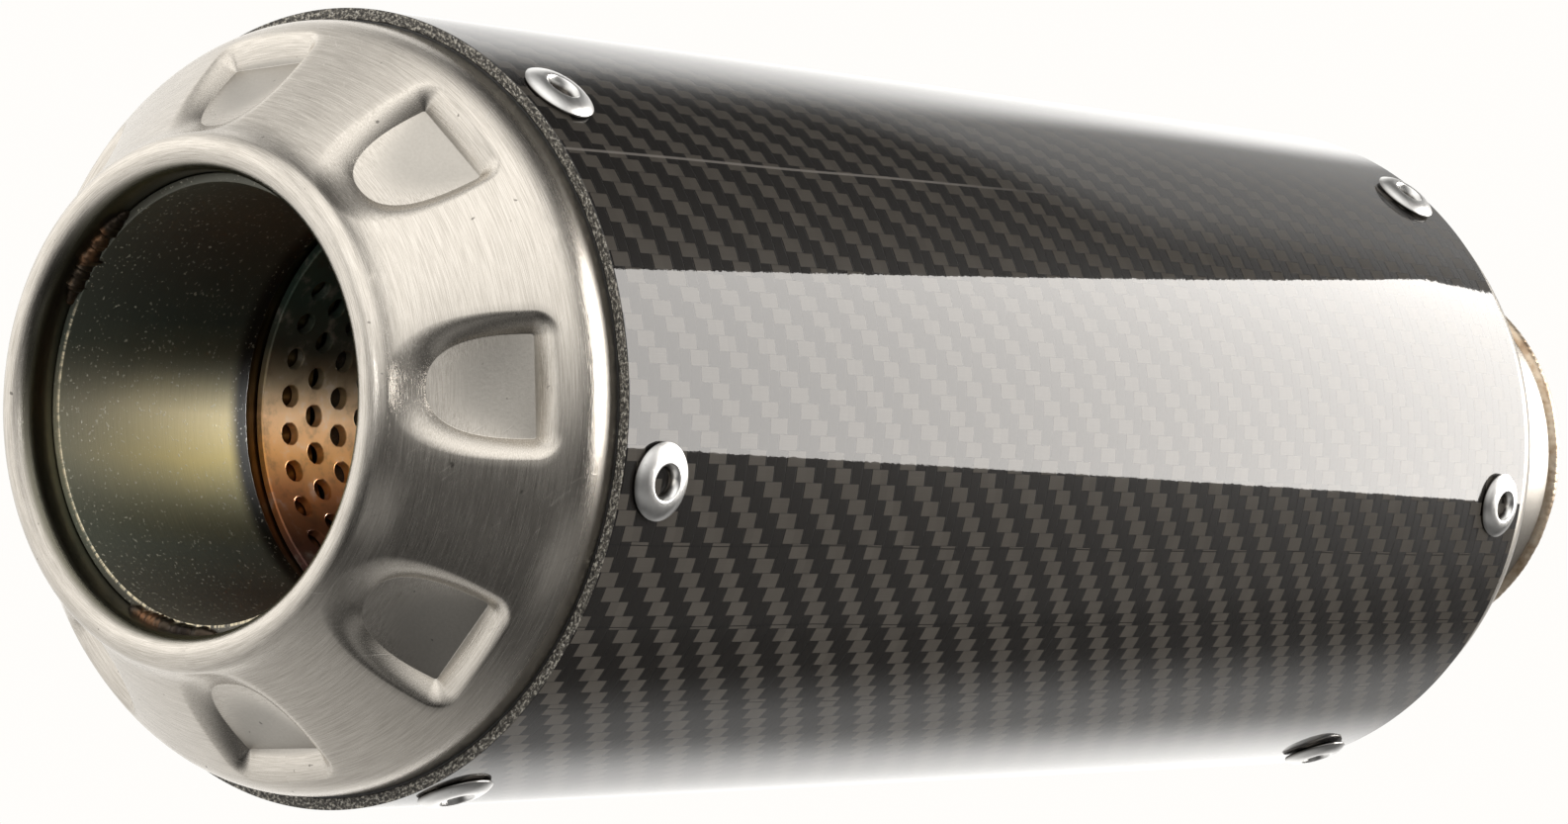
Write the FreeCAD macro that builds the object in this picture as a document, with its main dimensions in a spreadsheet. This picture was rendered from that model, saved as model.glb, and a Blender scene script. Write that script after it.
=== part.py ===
import FreeCAD, Part
import math
import os

import Sketcher
from FreeCAD import Matrix, Placement, Rotation, Vector

# Exhaust muffler of the riveted canister kind: a carbon sleeve between two pressed steel end caps,
# with a perforated core through the middle and packing round it.
#
# Every piece is drawn along its own X axis from the sleeve's outlet edge (station 0) towards the
# inlet, and is then shifted so that the row's origin is the centre of the inlet mouth.
# +X runs from the outlet to the inlet, +Z is up, and one dimple of the outlet cap is on top.

DIMENSIONS = {
    # carbon sleeve, and the slack between it and the cap skirts, which the sealant fills
    "sleeve_radius": 50.8,
    "sleeve_wall": 1.5,
    "sleeve_length": 213.6,
    "sealant_gap": 0.3,
    "sealant_width": 2.5,
    # pressed end caps
    "sheet": 1.2,
    "skirt_depth": 16.0,
    "shoulder_run": 2.8,
    "shoulder_bend": 7.0,
    "cone_angle": 43.5,
    # rolled lip of the outlet cap, and the flange that it turns in to
    "cove_bend": 8.0,
    "lip_bend": 2.4,
    "lip_reach": 25.2,
    "flange_end": 12.0,
    # dimples of the outlet cap, measured on the cone from the end of its shoulder
    "dimple_count": 8,
    "dimple_length": 20.9,
    "dimple_half_width": 8.45,
    "dimple_depth": 2.8,
    "floor_start": 3.2,
    "floor_length": 13.1,
    "floor_half_width": 6.8,
    # neck of the inlet cap
    "neck_radius": 30.0,
    "neck_bend": 6.0,
    "neck_reach": 43.8,
    # 57 mm outlet tube and inlet collar, and the core between them
    "tube_radius": 28.575,
    "tube_wall": 1.2,
    "collar_wall": 0.9,
    "slip_gap": 0.075,
    "outlet_tube_front": 19.9,
    "outlet_tube_end": 13.6,
    "core_radius": 28.5,
    "core_start": 16.5,
    "core_end": 203.4,
    "collar_start": 203.8,
    "mouth_reach": 47.9,
    # socket that joins the core to the outlet tube
    "socket_start": 2.0,
    "socket_end": 27.0,
    # packing
    "wool_start": 30.0,
    "wool_end": 200.0,
    "wool_radius": 33.4,
    "blanket_start": 11.5,
    "blanket_end": 202.0,
    "blanket_radius": 48.0,
    "packing_slack": 0.2,
    "tie_wire_radius": 0.4,
    "tie_wire_count": 3,
    # welds
    "bead_height": 2.3,
    "bead_width": 3.4,
    "inner_bead": 1.3,
    "tack_length": 2.3,
    "tack_height": 1.2,
    "tack_sweep": 32.0,
    "tack_clock": 45.0,
    "tack_count": 3,
    # blind rivets, the holes they sit in and the mandrel ends left in them
    "rivet_count": 6,
    "rivet_clock": 43.0,
    "rivet_inset": 6.8,
    "rivet_hole_radius": 2.5,
    "rivet_head_radius": 4.75,
    "rivet_rim": 0.35,
    "rivet_crown_radius": 2.65,
    "rivet_head_height": 1.4,
    "rivet_mouth_radius": 1.9,
    "rivet_shank_radius": 2.4,
    "rivet_bulb_radius": 3.3,
    "rivet_bulb_depth": 3.8,
    "rivet_bore_radius": 1.45,
    "mandrel_radius": 1.4,
    "mandrel_recess": 0.4,
    "mandrel_head_radius": 2.2,
    "mandrel_head_height": 1.5,
}

DIMPLE_POWER = 2.5  # exponent of the superellipse that rounds off a dimple's tip
DIMPLE_POINTS = 17  # points of the spline along that superellipse
DIMPLE_CLEARANCE = 1.0  # how far a dimple's punch stands out of the cap's skin
OVERRUN = 1.0  # how far a cutting solid runs past the face that it opens
SEAT_GAP = 0.02  # play between pieces that are pressed flat against each other
FULL_TURN = 360.0


class Size:
    """A size that knows its value and the spreadsheet expression that gives it."""

    def __init__(self, value, text):
        self.value = value
        self.text = text

    def __add__(self, other):
        return Size(self.value + value_of(other), f"({self.text} + {text_of(other)})")

    def __sub__(self, other):
        return Size(self.value - value_of(other), f"({self.text} - {text_of(other)})")

    def __mul__(self, other):
        return Size(self.value * value_of(other), f"({self.text} * {text_of(other)})")

    def __neg__(self):
        return Size(-self.value, f"(0 - {self.text})")


def value_of(size):
    return size.value if isinstance(size, Size) else float(size)


def text_of(size):
    return size.text if isinstance(size, Size) else repr(float(size))


doc = FreeCAD.newDocument("muffler")
sheet = doc.addObject("Spreadsheet::Sheet", "Dimensions")
sizes = {}
for row, (alias, number) in enumerate(DIMENSIONS.items(), start=1):
    sheet.set(f"A{row}", alias.replace("_", " "))
    sheet.set(f"B{row}", str(number))
    sheet.setAlias(f"B{row}", alias)
    sizes[alias] = Size(number, f"Dimensions.{alias}")
doc.recompute()

SLOPE = math.radians(DIMENSIONS["cone_angle"])
HALF_SLOPE_TAN = Size(math.tan(SLOPE / 2), "tan(Dimensions.cone_angle * 0.5 deg)")
SLOPE_RUN = Size(1 / math.tan(SLOPE), "(1 / tan(Dimensions.cone_angle * 1 deg))")
LENGTH = sizes["sleeve_length"]
MOUTH = LENGTH + sizes["mouth_reach"]
SLEEVE_BORE = sizes["sleeve_radius"] - sizes["sleeve_wall"]
SKIRT_RADIUS = SLEEVE_BORE - sizes["sealant_gap"]
SKIRT_BORE = SKIRT_RADIUS - sizes["sheet"]
TUBE_BORE = sizes["tube_radius"] - sizes["tube_wall"]
COLLAR_BORE = sizes["tube_radius"] - sizes["collar_wall"]
CORE_BORE = sizes["core_radius"] - sizes["tube_wall"]
SEAT_RADIUS = sizes["tube_radius"] + sizes["slip_gap"]
LIP_STATION = sizes["lip_bend"] - sizes["lip_reach"]
LIP_RADIUS = SEAT_RADIUS + sizes["lip_bend"]


# ---- bodies, sketches and features ----


def place(part, turn=None):
    """Shifts a piece from its drawing station to the row frame, and clocks it about the axis."""
    angle = value_of(turn) if turn else 0.0
    part.Placement = Placement(Vector(-MOUTH.value, 0, 0), Rotation(Vector(1, 0, 0), angle))
    part.setExpression("Placement.Base.x", f"0 - {MOUTH.text}")
    if turn:
        part.setExpression("Placement.Rotation.Angle", f"{turn.text} * 1 deg")


def new_body(name):
    body = doc.addObject("PartDesign::Body", name)
    body.Label = name
    body.AllowCompound = True
    return body


def origin_feature(body, role):
    return next(item for item in body.Origin.OriginFeatures if item.Role == role)


def new_sketch(body, name, plane="XZ_Plane", station=None):
    """A sketch on one of the body's own planes, moved along X to a station."""
    sketch = body.newObject("Sketcher::SketchObject", f"{body.Name}_{name}")
    sketch.AttachmentSupport = [(origin_feature(body, plane), "")]
    sketch.MapMode = "FlatFace"
    if station is not None:
        sketch.AttachmentOffset = Placement(Vector(station.value, 0, 0), Rotation())
        sketch.setExpression("AttachmentOffset.Base.x", station.text)
    return sketch


def drive(sketch, kind, items, size):
    """Adds a dimension to a sketch and binds it to the spreadsheet."""
    index = sketch.addConstraint(Sketcher.Constraint(kind, *items, value_of(size)))
    if isinstance(size, Size):
        name = f"{kind}{index}"
        sketch.renameConstraint(index, name)
        sketch.setExpression(f"Constraints.{name}", size.text)


def pin_point(sketch, item, point, x, y):
    """Fixes a point of a sketch at (x, y) from the sketch's origin."""
    drive(sketch, "DistanceX", (-1, 1, item, point), x)
    drive(sketch, "DistanceY", (-1, 1, item, point), y)


def add_line(sketch, start, end):
    ends = [Vector(value_of(x), value_of(y), 0) for x, y in (start, end)]
    return sketch.addGeometry(Part.LineSegment(*ends), False)


def add_arc(sketch, centre, radius, start_angle, end_angle):
    circle = Part.Circle(centre, Vector(0, 0, 1), radius)
    arc = Part.ArcOfCircle(circle, math.radians(start_angle), math.radians(end_angle))
    return sketch.addGeometry(arc, False)


def add_circle(sketch, x, y, radius):
    centre = Vector(value_of(x), value_of(y), 0)
    item = sketch.addGeometry(Part.Circle(centre, Vector(0, 0, 1), value_of(radius)), False)
    pin_point(sketch, item, 3, x, y)
    drive(sketch, "Radius", (item,), radius)


def link(sketch, kind, *items):
    sketch.addConstraint(Sketcher.Constraint(kind, *items))


def add_polygon(sketch, corners):
    """Closed outline through the corners, each one fixed by its two sizes."""
    count = len(corners)
    lines = [add_line(sketch, corners[i], corners[(i + 1) % count]) for i in range(count)]
    for i, line in enumerate(lines):
        link(sketch, "Coincident", line, 2, lines[(i + 1) % count], 1)
        pin_point(sketch, line, 1, *corners[i])


def revolve(body, sketch, axis="H_Axis", sweep=None):
    """Turns a section about an axis of its sketch, right round or by a sweep centred on it."""
    feature = body.newObject("PartDesign::Revolution", f"{body.Name}_turned")
    feature.Profile = sketch
    feature.ReferenceAxis = (sketch, [axis])
    feature.Angle = sweep.value if sweep else FULL_TURN
    if sweep:
        feature.Midplane = True
        feature.setExpression("Angle", f"{sweep.text} * 1 deg")
    body.Tip = feature
    doc.recompute()
    return feature


def repeat_round(body, feature, count):
    """Copies a feature evenly round the body's X axis."""
    pattern = body.newObject("PartDesign::PolarPattern", f"{feature.Name}_round")
    pattern.Originals = [feature]
    pattern.Axis = (origin_feature(body, "X_Axis"), [""])
    pattern.Angle = FULL_TURN
    pattern.Occurrences = int(count.value)
    pattern.setExpression("Occurrences", count.text)
    body.Tip = pattern
    doc.recompute()


def drill_for_rivets(body, stations):
    """Radial rivet holes through one wall, in one row for each station."""
    sketch = new_sketch(body, "rivet_holes", "XY_Plane")
    for station in stations:
        add_circle(sketch, station, 0.0, sizes["rivet_hole_radius"])
    before = body.Shape.Volume
    depth = sizes["sleeve_radius"] + OVERRUN
    holes = body.newObject("PartDesign::Pocket", f"{body.Name}_drilled")
    holes.Profile = sketch
    holes.Length = depth.value
    holes.setExpression("Length", depth.text)
    holes.Reversed = True
    body.Tip = holes
    doc.recompute()
    repeat_round(body, holes, sizes["rivet_count"])
    if body.Shape.Volume >= before:
        raise RuntimeError(f"{body.Label}: the rivet holes cut nothing")


def round_edge(body, station, radius, bend):
    """Rounds the circular edge of that radius at that station."""
    base = body.Tip
    found = [
        f"Edge{number}"
        for number, edge in enumerate(base.Shape.Edges, start=1)
        if isinstance(edge.Curve, Part.Circle)
        and abs(edge.Curve.Radius - radius.value) < SEAT_GAP
        and abs(edge.Curve.Center.x - station.value) < SEAT_GAP
    ]
    feature = body.newObject("PartDesign::Fillet", f"{body.Name}_bend")
    feature.Base = (base, found)
    feature.Radius = bend.value
    feature.setExpression("Radius", bend.text)
    body.Tip = feature
    doc.recompute()


def turned(name, corners):
    """A ring about the X axis with the given section."""
    body = new_body(name)
    sketch = new_sketch(body, "section")
    add_polygon(sketch, corners)
    revolve(body, sketch)
    place(body)
    return body


def tube(name, start, end, bore, radius):
    return turned(name, [(start, bore), (end, bore), (end, radius), (start, radius)])


# ---- carbon sleeve and sealant ----


def make_sleeve():
    body = new_body("carbon_sleeve")
    sketch = new_sketch(body, "section")
    outer = sizes["sleeve_radius"]
    corners = [(0.0, SLEEVE_BORE), (LENGTH, SLEEVE_BORE), (LENGTH, outer), (0.0, outer)]
    add_polygon(sketch, corners)
    revolve(body, sketch)
    inset = sizes["rivet_inset"]
    drill_for_rivets(body, [inset, LENGTH - inset])
    place(body, sizes["rivet_clock"])
    return body


def make_sealants():
    """Rings of silicone between each cap's skirt and the sleeve."""
    width = sizes["sealant_width"]
    limits = (SKIRT_RADIUS + SEAT_GAP, SLEEVE_BORE - SEAT_GAP)
    outlet = tube("outlet_sealant", SEAT_GAP, width, *limits)
    inlet = tube("inlet_sealant", LENGTH - width, LENGTH - SEAT_GAP, *limits)
    return [outlet, inlet]


# ---- outlet end cap ----


def nose_geometry(offset):
    """Arcs and cone of the outlet cap's section, offset inwards from its skin."""
    down = Vector(-math.cos(SLOPE), -math.sin(SLOPE), 0)
    out = Vector(-math.sin(SLOPE), math.cos(SLOPE), 0)
    bend = sizes["shoulder_bend"].value
    shoulder = Vector(-sizes["shoulder_run"].value, SKIRT_RADIUS.value - bend, 0)
    lip = Vector(LIP_STATION.value, LIP_RADIUS.value, 0)
    lip_bend = sizes["lip_bend"].value - offset
    cove_bend = sizes["cove_bend"].value + offset
    cone_start = shoulder + out * (bend - offset)
    to_lip = lip - cone_start
    foot = math.sqrt((cove_bend + lip_bend) ** 2 - (cove_bend - to_lip.dot(out)) ** 2)
    cone_end = cone_start + down * (to_lip.dot(down) - foot)
    cove = cone_end + out * cove_bend
    lip_angle = math.degrees(math.atan2(cove.y - lip.y, cove.x - lip.x))
    return shoulder, cone_start, cone_end, cove, lip, lip_angle


def add_nose(sketch, offset):
    """Draws shoulder, cone, cove and lip, and returns the shoulder's and the lip's items."""
    angle = sizes["cone_angle"]
    bends = [
        sizes["shoulder_bend"] - offset,
        sizes["cove_bend"] + offset,
        sizes["lip_bend"] - offset,
    ]
    centre, cone_start, cone_end, cove_centre, lip_centre, lip_angle = nose_geometry(
        value_of(offset)
    )
    shoulder = add_arc(sketch, centre, bends[0].value, 90, 90 + angle.value)
    cone = sketch.addGeometry(Part.LineSegment(cone_end, cone_start), False)
    cove = add_arc(sketch, cove_centre, bends[1].value, lip_angle - 180, angle.value - 90)
    lip = add_arc(sketch, lip_centre, bends[2].value, lip_angle, 270)
    link(sketch, "Tangent", shoulder, 2, cone, 2)
    link(sketch, "Tangent", cone, 1, cove, 2)
    link(sketch, "Tangent", cove, 1, lip, 1)
    link(sketch, "Vertical", shoulder, 1, shoulder, 3)
    link(sketch, "Vertical", lip, 2, lip, 3)
    pin_point(sketch, shoulder, 3, -sizes["shoulder_run"], SKIRT_RADIUS - sizes["shoulder_bend"])
    pin_point(sketch, lip, 3, LIP_STATION, LIP_RADIUS)
    for item, bend in zip((shoulder, cove, lip), bends):
        drive(sketch, "Radius", (item,), bend)
    slope = sketch.addConstraint(Sketcher.Constraint("Angle", cone, SLOPE))
    sketch.renameConstraint(slope, "slope")
    sketch.setExpression("Constraints.slope", f"{angle.text} * 1 deg")
    return shoulder, lip


def close_behind(sketch, shoulder, lip, corners):
    """Straight lines from the lip's end through the corners to the shoulder's start."""
    stops = [sketch.getPoint(lip, 2), *corners, sketch.getPoint(shoulder, 1)]
    stops = [(stop.x, stop.y) if isinstance(stop, Vector) else stop for stop in stops]
    previous = lip
    for number in range(len(corners) + 1):
        line = add_line(sketch, stops[number], stops[number + 1])
        link(sketch, "Coincident", previous, 2, line, 1)
        if number:
            pin_point(sketch, line, 1, *corners[number - 1])
        previous = line
    link(sketch, "Coincident", previous, 2, shoulder, 1)


def make_cap_outside():
    """The outlet cap as a solid plug, with the rivet holes in its skirt."""
    body = new_body("outlet_cap_outside")
    sketch = new_sketch(body, "section")
    shoulder, lip = add_nose(sketch, 0.0)
    end = sizes["skirt_depth"]
    close_behind(sketch, shoulder, lip, [(LIP_STATION, 0.0), (end, 0.0), (end, SKIRT_RADIUS)])
    revolve(body, sketch)
    drill_for_rivets(body, [sizes["rivet_inset"]])
    place(body, sizes["rivet_clock"])
    return body


def make_cap_hollow():
    """The room inside the outlet cap's sheet, with the bore through its flange."""
    body = new_body("outlet_cap_hollow")
    sketch = new_sketch(body, "section")
    shoulder, lip = add_nose(sketch, sizes["sheet"])
    flange_end = -sizes["flange_end"]
    front = -sizes["lip_reach"] - OVERRUN
    back = sizes["skirt_depth"] + OVERRUN
    flange_back = SEAT_RADIUS + sizes["sheet"]
    corners = [
        (flange_end, flange_back),
        (flange_end, SEAT_RADIUS),
        (front, SEAT_RADIUS),
        (front, 0.0),
        (back, 0.0),
        (back, SKIRT_BORE),
    ]
    close_behind(sketch, shoulder, lip, corners)
    revolve(body, sketch)
    place(body)
    return body


def dimple_outline(start, length, half_width, height):
    """A D: flat at the start, with sides that close in a superellipse at the far end."""
    points = []
    for number in range(DIMPLE_POINTS):
        turn = math.pi * (number / (DIMPLE_POINTS - 1) - 0.5)
        along = length * abs(math.cos(turn)) ** (2 / DIMPLE_POWER)
        across = half_width * math.copysign(abs(math.sin(turn)) ** (2 / DIMPLE_POWER), turn)
        points.append(Vector(start + along, across, height))
    curve = Part.BSplineCurve()
    curve.interpolate(points)
    return Part.Wire([curve.toShape(), Part.makeLine(points[-1], points[0])])


def dimple_solids(grow):
    """Eight punches round the cap, grown by the sheet to give the underside of each dimple."""
    depth = sizes["dimple_depth"].value
    length = sizes["dimple_length"].value
    half_width = sizes["dimple_half_width"].value
    floor_start = sizes["floor_start"].value
    floor_length = sizes["floor_length"].value
    floor_half_width = sizes["floor_half_width"].value
    rise = 1 + DIMPLE_CLEARANCE / depth
    top_start = floor_start * (1 - rise)
    top_length = floor_length + (length - floor_length) * rise
    top_half_width = floor_half_width + (half_width - floor_half_width) * rise
    top = dimple_outline(
        top_start - grow, top_length + 2 * grow, top_half_width + grow, DIMPLE_CLEARANCE
    )
    floor = dimple_outline(
        floor_start - grow, floor_length + 2 * grow, floor_half_width + grow, -depth - grow
    )
    punch = Part.makeLoft([top, floor], True, True)
    cone_start = nose_geometry(0.0)[1]
    down = Vector(-math.cos(SLOPE), 0, -math.sin(SLOPE))
    across = Vector(0, -1, 0)
    out = Vector(-math.sin(SLOPE), 0, math.cos(SLOPE))
    seat = Vector(cone_start.x, 0, cone_start.y)
    frame = Matrix(
        *(down.x, across.x, out.x, seat.x),
        *(down.y, across.y, out.y, seat.y),
        *(down.z, across.z, out.z, seat.z),
        *(0, 0, 0, 1),
    )
    punch.Placement = Placement(frame)
    count = DIMENSIONS["dimple_count"]
    punches = []
    for number in range(count):
        copy = punch.copy()
        copy.rotate(Vector(0, 0, 0), Vector(1, 0, 0), FULL_TURN * number / count)
        punches.append(copy)
    return Part.makeCompound(punches)


def set_feature(name, shape):
    feature = doc.addObject("Part::Feature", name)
    feature.Shape = shape
    place(feature)
    return feature


def cut(name, base, tool):
    feature = doc.addObject("Part::Cut", name)
    feature.Label = name
    feature.Base = base
    feature.Tool = tool
    doc.recompute()
    return feature


def make_outlet_cap():
    """The cap's sheet: its outside less its hollow, both dented by the same punches."""
    punches = set_feature("dimple_punches", dimple_solids(0.0))
    backs = set_feature("dimple_backs", dimple_solids(sizes["sheet"].value))
    skin = cut("outlet_cap_skin", make_cap_outside(), punches)
    inside = cut("outlet_cap_inside", make_cap_hollow(), backs)
    return cut("outlet_end_cap", skin, inside)


# ---- inlet end cap ----


def make_inlet_cap():
    """Skirt, shoulder, cone and neck, bent from one sheet."""
    body = new_body("inlet_end_cap")
    thick = sizes["sheet"]
    shift = thick * HALF_SLOPE_TAN
    bend = sizes["shoulder_bend"]
    neck = sizes["neck_radius"]
    start = LENGTH - sizes["skirt_depth"]
    corner = LENGTH + sizes["shoulder_run"] + bend * HALF_SLOPE_TAN
    foot = corner + (SKIRT_RADIUS - neck) * SLOPE_RUN
    end = LENGTH + sizes["neck_reach"]
    sketch = new_sketch(body, "section")
    outside = [(start, SKIRT_RADIUS), (corner, SKIRT_RADIUS), (foot, neck), (end, neck)]
    inside = [
        (end, neck - thick),
        (foot - shift, neck - thick),
        (corner - shift, SKIRT_BORE),
        (start, SKIRT_BORE),
    ]
    add_polygon(sketch, outside + inside)
    revolve(body, sketch)
    round_edge(body, corner, SKIRT_RADIUS, bend)
    round_edge(body, corner - shift, SKIRT_BORE, bend - thick)
    round_edge(body, foot, neck, sizes["neck_bend"])
    round_edge(body, foot - shift, neck - thick, sizes["neck_bend"] + thick)
    drill_for_rivets(body, [LENGTH - sizes["rivet_inset"]])
    place(body, sizes["rivet_clock"])
    return body


# ---- gas path: tubes, core and socket ----


def make_gas_path():
    outer = sizes["tube_radius"]
    core = sizes["core_radius"]
    socket = SEAT_RADIUS + sizes["sheet"]
    return [
        tube("outlet_tube", -sizes["outlet_tube_front"], sizes["outlet_tube_end"], TUBE_BORE, outer),
        tube("perforated_core", sizes["core_start"], sizes["core_end"], CORE_BORE, core),
        tube("core_socket", sizes["socket_start"], sizes["socket_end"], SEAT_RADIUS, socket),
        tube("inlet_collar", sizes["collar_start"], MOUTH, COLLAR_BORE, outer),
    ]


# ---- welds ----


def fillet_bead(name, toe, height, width):
    """A convex fillet weld on the tube stock, from a piece's end face at the toe along +X."""
    root = sizes["tube_radius"] + SEAT_GAP
    crown = root + height
    corners = [
        (toe, root),
        (toe + width, root),
        (toe + width * 0.8, root + height * 0.6),
        (toe + width * 0.4, crown),
        (toe, crown - height * 0.15),
    ]
    return turned(name, corners)


def make_tacks():
    """Short welds in the corner between the cap's flange and the outlet tube's front edge."""
    body = new_body("outlet_tack_welds")
    face = -sizes["outlet_tube_front"] - SEAT_GAP
    seat = SEAT_RADIUS - SEAT_GAP
    length = sizes["tack_length"]
    height = sizes["tack_height"]
    sketch = new_sketch(body, "section")
    corners = [
        (face, seat),
        (face - length, seat),
        (face - length * 0.6, seat - height * 0.6),
        (face, seat - height),
    ]
    add_polygon(sketch, corners)
    tack = revolve(body, sketch, sweep=sizes["tack_sweep"])
    repeat_round(body, tack, sizes["tack_count"])
    place(body, -sizes["tack_clock"])
    return body


def make_core_weld():
    """The bead that closes the joint between the core and the inlet collar."""
    middle = sizes["collar_start"] - SEAT_GAP
    half = sizes["inner_bead"]
    root = sizes["tube_radius"] + SEAT_GAP
    corners = [
        (middle - half, root),
        (middle + half, root),
        (middle + half * 0.5, root + half * 0.8),
        (middle - half * 0.5, root + half * 0.8),
    ]
    return turned("core_weld", corners)


def make_welds():
    bead = sizes["inner_bead"]
    neck_end = LENGTH + sizes["neck_reach"] + SEAT_GAP
    socket_toe = sizes["socket_start"] - SEAT_GAP
    return [
        fillet_bead("inlet_weld_bead", neck_end, sizes["bead_height"], sizes["bead_width"]),
        fillet_bead("core_socket_weld", socket_toe, bead * 0.9, -bead),
        make_core_weld(),
        make_tacks(),
    ]


# ---- packing ----


def make_tie_wires():
    """Wire rings twisted round the packing to hold it rolled up."""
    body = new_body("packing_tie_wires")
    count = sizes["tie_wire_count"]
    span = sizes["blanket_end"] - sizes["blanket_start"]
    pitch = span * (1 / (DIMENSIONS["tie_wire_count"] + 1))
    wire = sizes["tie_wire_radius"]
    sketch = new_sketch(body, "section")
    radius = sizes["blanket_radius"] + wire + sizes["packing_slack"]
    add_circle(sketch, sizes["blanket_start"] + pitch, radius, wire)
    ring = revolve(body, sketch)
    pattern = body.newObject("PartDesign::LinearPattern", "packing_tie_wires_row")
    pattern.Originals = [ring]
    pattern.Direction = (origin_feature(body, "X_Axis"), [""])
    pattern.Length = pitch.value * (count.value - 1)
    pattern.setExpression("Length", f"{pitch.text} * ({count.text} - 1)")
    pattern.Occurrences = int(count.value)
    pattern.setExpression("Occurrences", count.text)
    body.Tip = pattern
    doc.recompute()
    place(body)
    return body


def make_packing():
    slack = sizes["packing_slack"]
    wool_bore = sizes["core_radius"] + slack
    wool = (sizes["wool_start"], sizes["wool_end"])
    blanket = (sizes["blanket_start"], sizes["blanket_end"])
    blanket_bore = sizes["wool_radius"] + slack
    return [
        tube("steel_wool_wrap", *wool, wool_bore, sizes["wool_radius"]),
        tube("packing_blanket", *blanket, blanket_bore, sizes["blanket_radius"]),
        make_tie_wires(),
    ]


# ---- rivets ----


def rivet_row(name, station, corners):
    """Six pieces turned about the same radial line and spaced round the muffler."""
    body = new_body(name)
    sketch = new_sketch(body, "section", station=station)
    add_polygon(sketch, corners)
    first = revolve(body, sketch, axis="V_Axis")
    repeat_round(body, first, sizes["rivet_count"])
    place(body, sizes["rivet_clock"])
    return body


def make_rivets():
    seat = sizes["sleeve_radius"] + SEAT_GAP
    top = seat + sizes["rivet_head_height"]
    grip = SKIRT_BORE - sizes["packing_slack"]
    tail = grip - sizes["rivet_bulb_depth"]
    shank = sizes["rivet_shank_radius"]
    bulb = sizes["rivet_bulb_radius"]
    bore = sizes["rivet_bore_radius"]
    body_corners = [
        (bore, tail),
        (shank, tail),
        (bulb, tail + sizes["rivet_head_height"]),
        (bulb, grip),
        (shank, grip),
        (shank, seat),
        (sizes["rivet_head_radius"], seat),
        (sizes["rivet_head_radius"], seat + sizes["rivet_rim"]),
        (sizes["rivet_crown_radius"], top),
        (sizes["rivet_mouth_radius"], top),
        (bore, top - sizes["rivet_head_height"] * 0.8),
    ]
    head = sizes["mandrel_head_radius"]
    head_top = tail - SEAT_GAP
    head_bottom = head_top - sizes["mandrel_head_height"]
    stem = sizes["mandrel_radius"]
    mandrel_corners = [
        (0.0, head_bottom),
        (head, head_bottom),
        (head, head_top - sizes["mandrel_recess"]),
        (stem, head_top),
        (stem, seat - sizes["mandrel_recess"]),
        (0.0, seat - sizes["mandrel_recess"]),
    ]
    rows = []
    for end, station in (
        ("outlet", sizes["rivet_inset"]),
        ("inlet", LENGTH - sizes["rivet_inset"]),
    ):
        rows.append(rivet_row(f"{end}_rivets", station, body_corners))
        rows.append(rivet_row(f"{end}_rivet_mandrels", station, mandrel_corners))
    return rows


# ---- checks and export ----


def make_all():
    pieces = [make_sleeve(), *make_sealants(), make_outlet_cap(), make_inlet_cap()]
    pieces += make_gas_path()
    pieces += make_welds()
    pieces += make_packing()
    pieces += make_rivets()
    return pieces


def check_document():
    doc.recompute()
    for item in doc.Objects:
        if "Invalid" in item.State or "Error" in item.State:
            raise RuntimeError(f"{item.Label} failed: {item.State}")


def export(pieces):
    os.makedirs("parts", exist_ok=True)
    for piece in pieces:
        shape = piece.Shape
        if shape.isNull() or not shape.isValid() or not shape.Solids:
            raise RuntimeError(f"{piece.Label} has no valid shape")
        shape.exportStep(f"parts/{piece.Label}.step")
        print(f"{piece.Label}: {len(shape.Solids)} solids, {shape.Volume:.1f} mm3")


finished = make_all()
check_document()
export(finished)
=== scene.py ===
"""Looks of a round motorcycle muffler with a carbon sleeve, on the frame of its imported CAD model.

Stations are millimetres along the axis from the sleeve's outlet edge towards the inlet. Clock
angles are measured round the axis from straight up towards -Y. The meshes are in metres.
"""

import math

import bmesh
import bpy
from mathutils import Matrix, Vector, noise


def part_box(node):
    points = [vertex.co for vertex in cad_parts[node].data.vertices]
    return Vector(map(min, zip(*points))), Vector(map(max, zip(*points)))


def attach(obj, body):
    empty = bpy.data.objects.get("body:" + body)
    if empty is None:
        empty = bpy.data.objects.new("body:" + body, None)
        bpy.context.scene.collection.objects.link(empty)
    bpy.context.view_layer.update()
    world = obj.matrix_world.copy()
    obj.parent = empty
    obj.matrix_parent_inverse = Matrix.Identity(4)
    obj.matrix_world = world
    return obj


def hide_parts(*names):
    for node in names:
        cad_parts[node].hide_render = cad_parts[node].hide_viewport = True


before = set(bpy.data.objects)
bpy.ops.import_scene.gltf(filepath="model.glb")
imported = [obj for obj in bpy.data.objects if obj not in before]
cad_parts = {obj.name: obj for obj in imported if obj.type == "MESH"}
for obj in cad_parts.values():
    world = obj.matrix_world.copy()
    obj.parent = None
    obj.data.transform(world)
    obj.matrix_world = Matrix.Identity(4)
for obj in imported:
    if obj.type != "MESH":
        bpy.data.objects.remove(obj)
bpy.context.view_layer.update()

MM = 0.001
TURN = 2 * math.pi
JOIN_DISTANCE = 2e-7  # metres, points closer than this become one

# ---- sizes in millimetres ----

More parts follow.
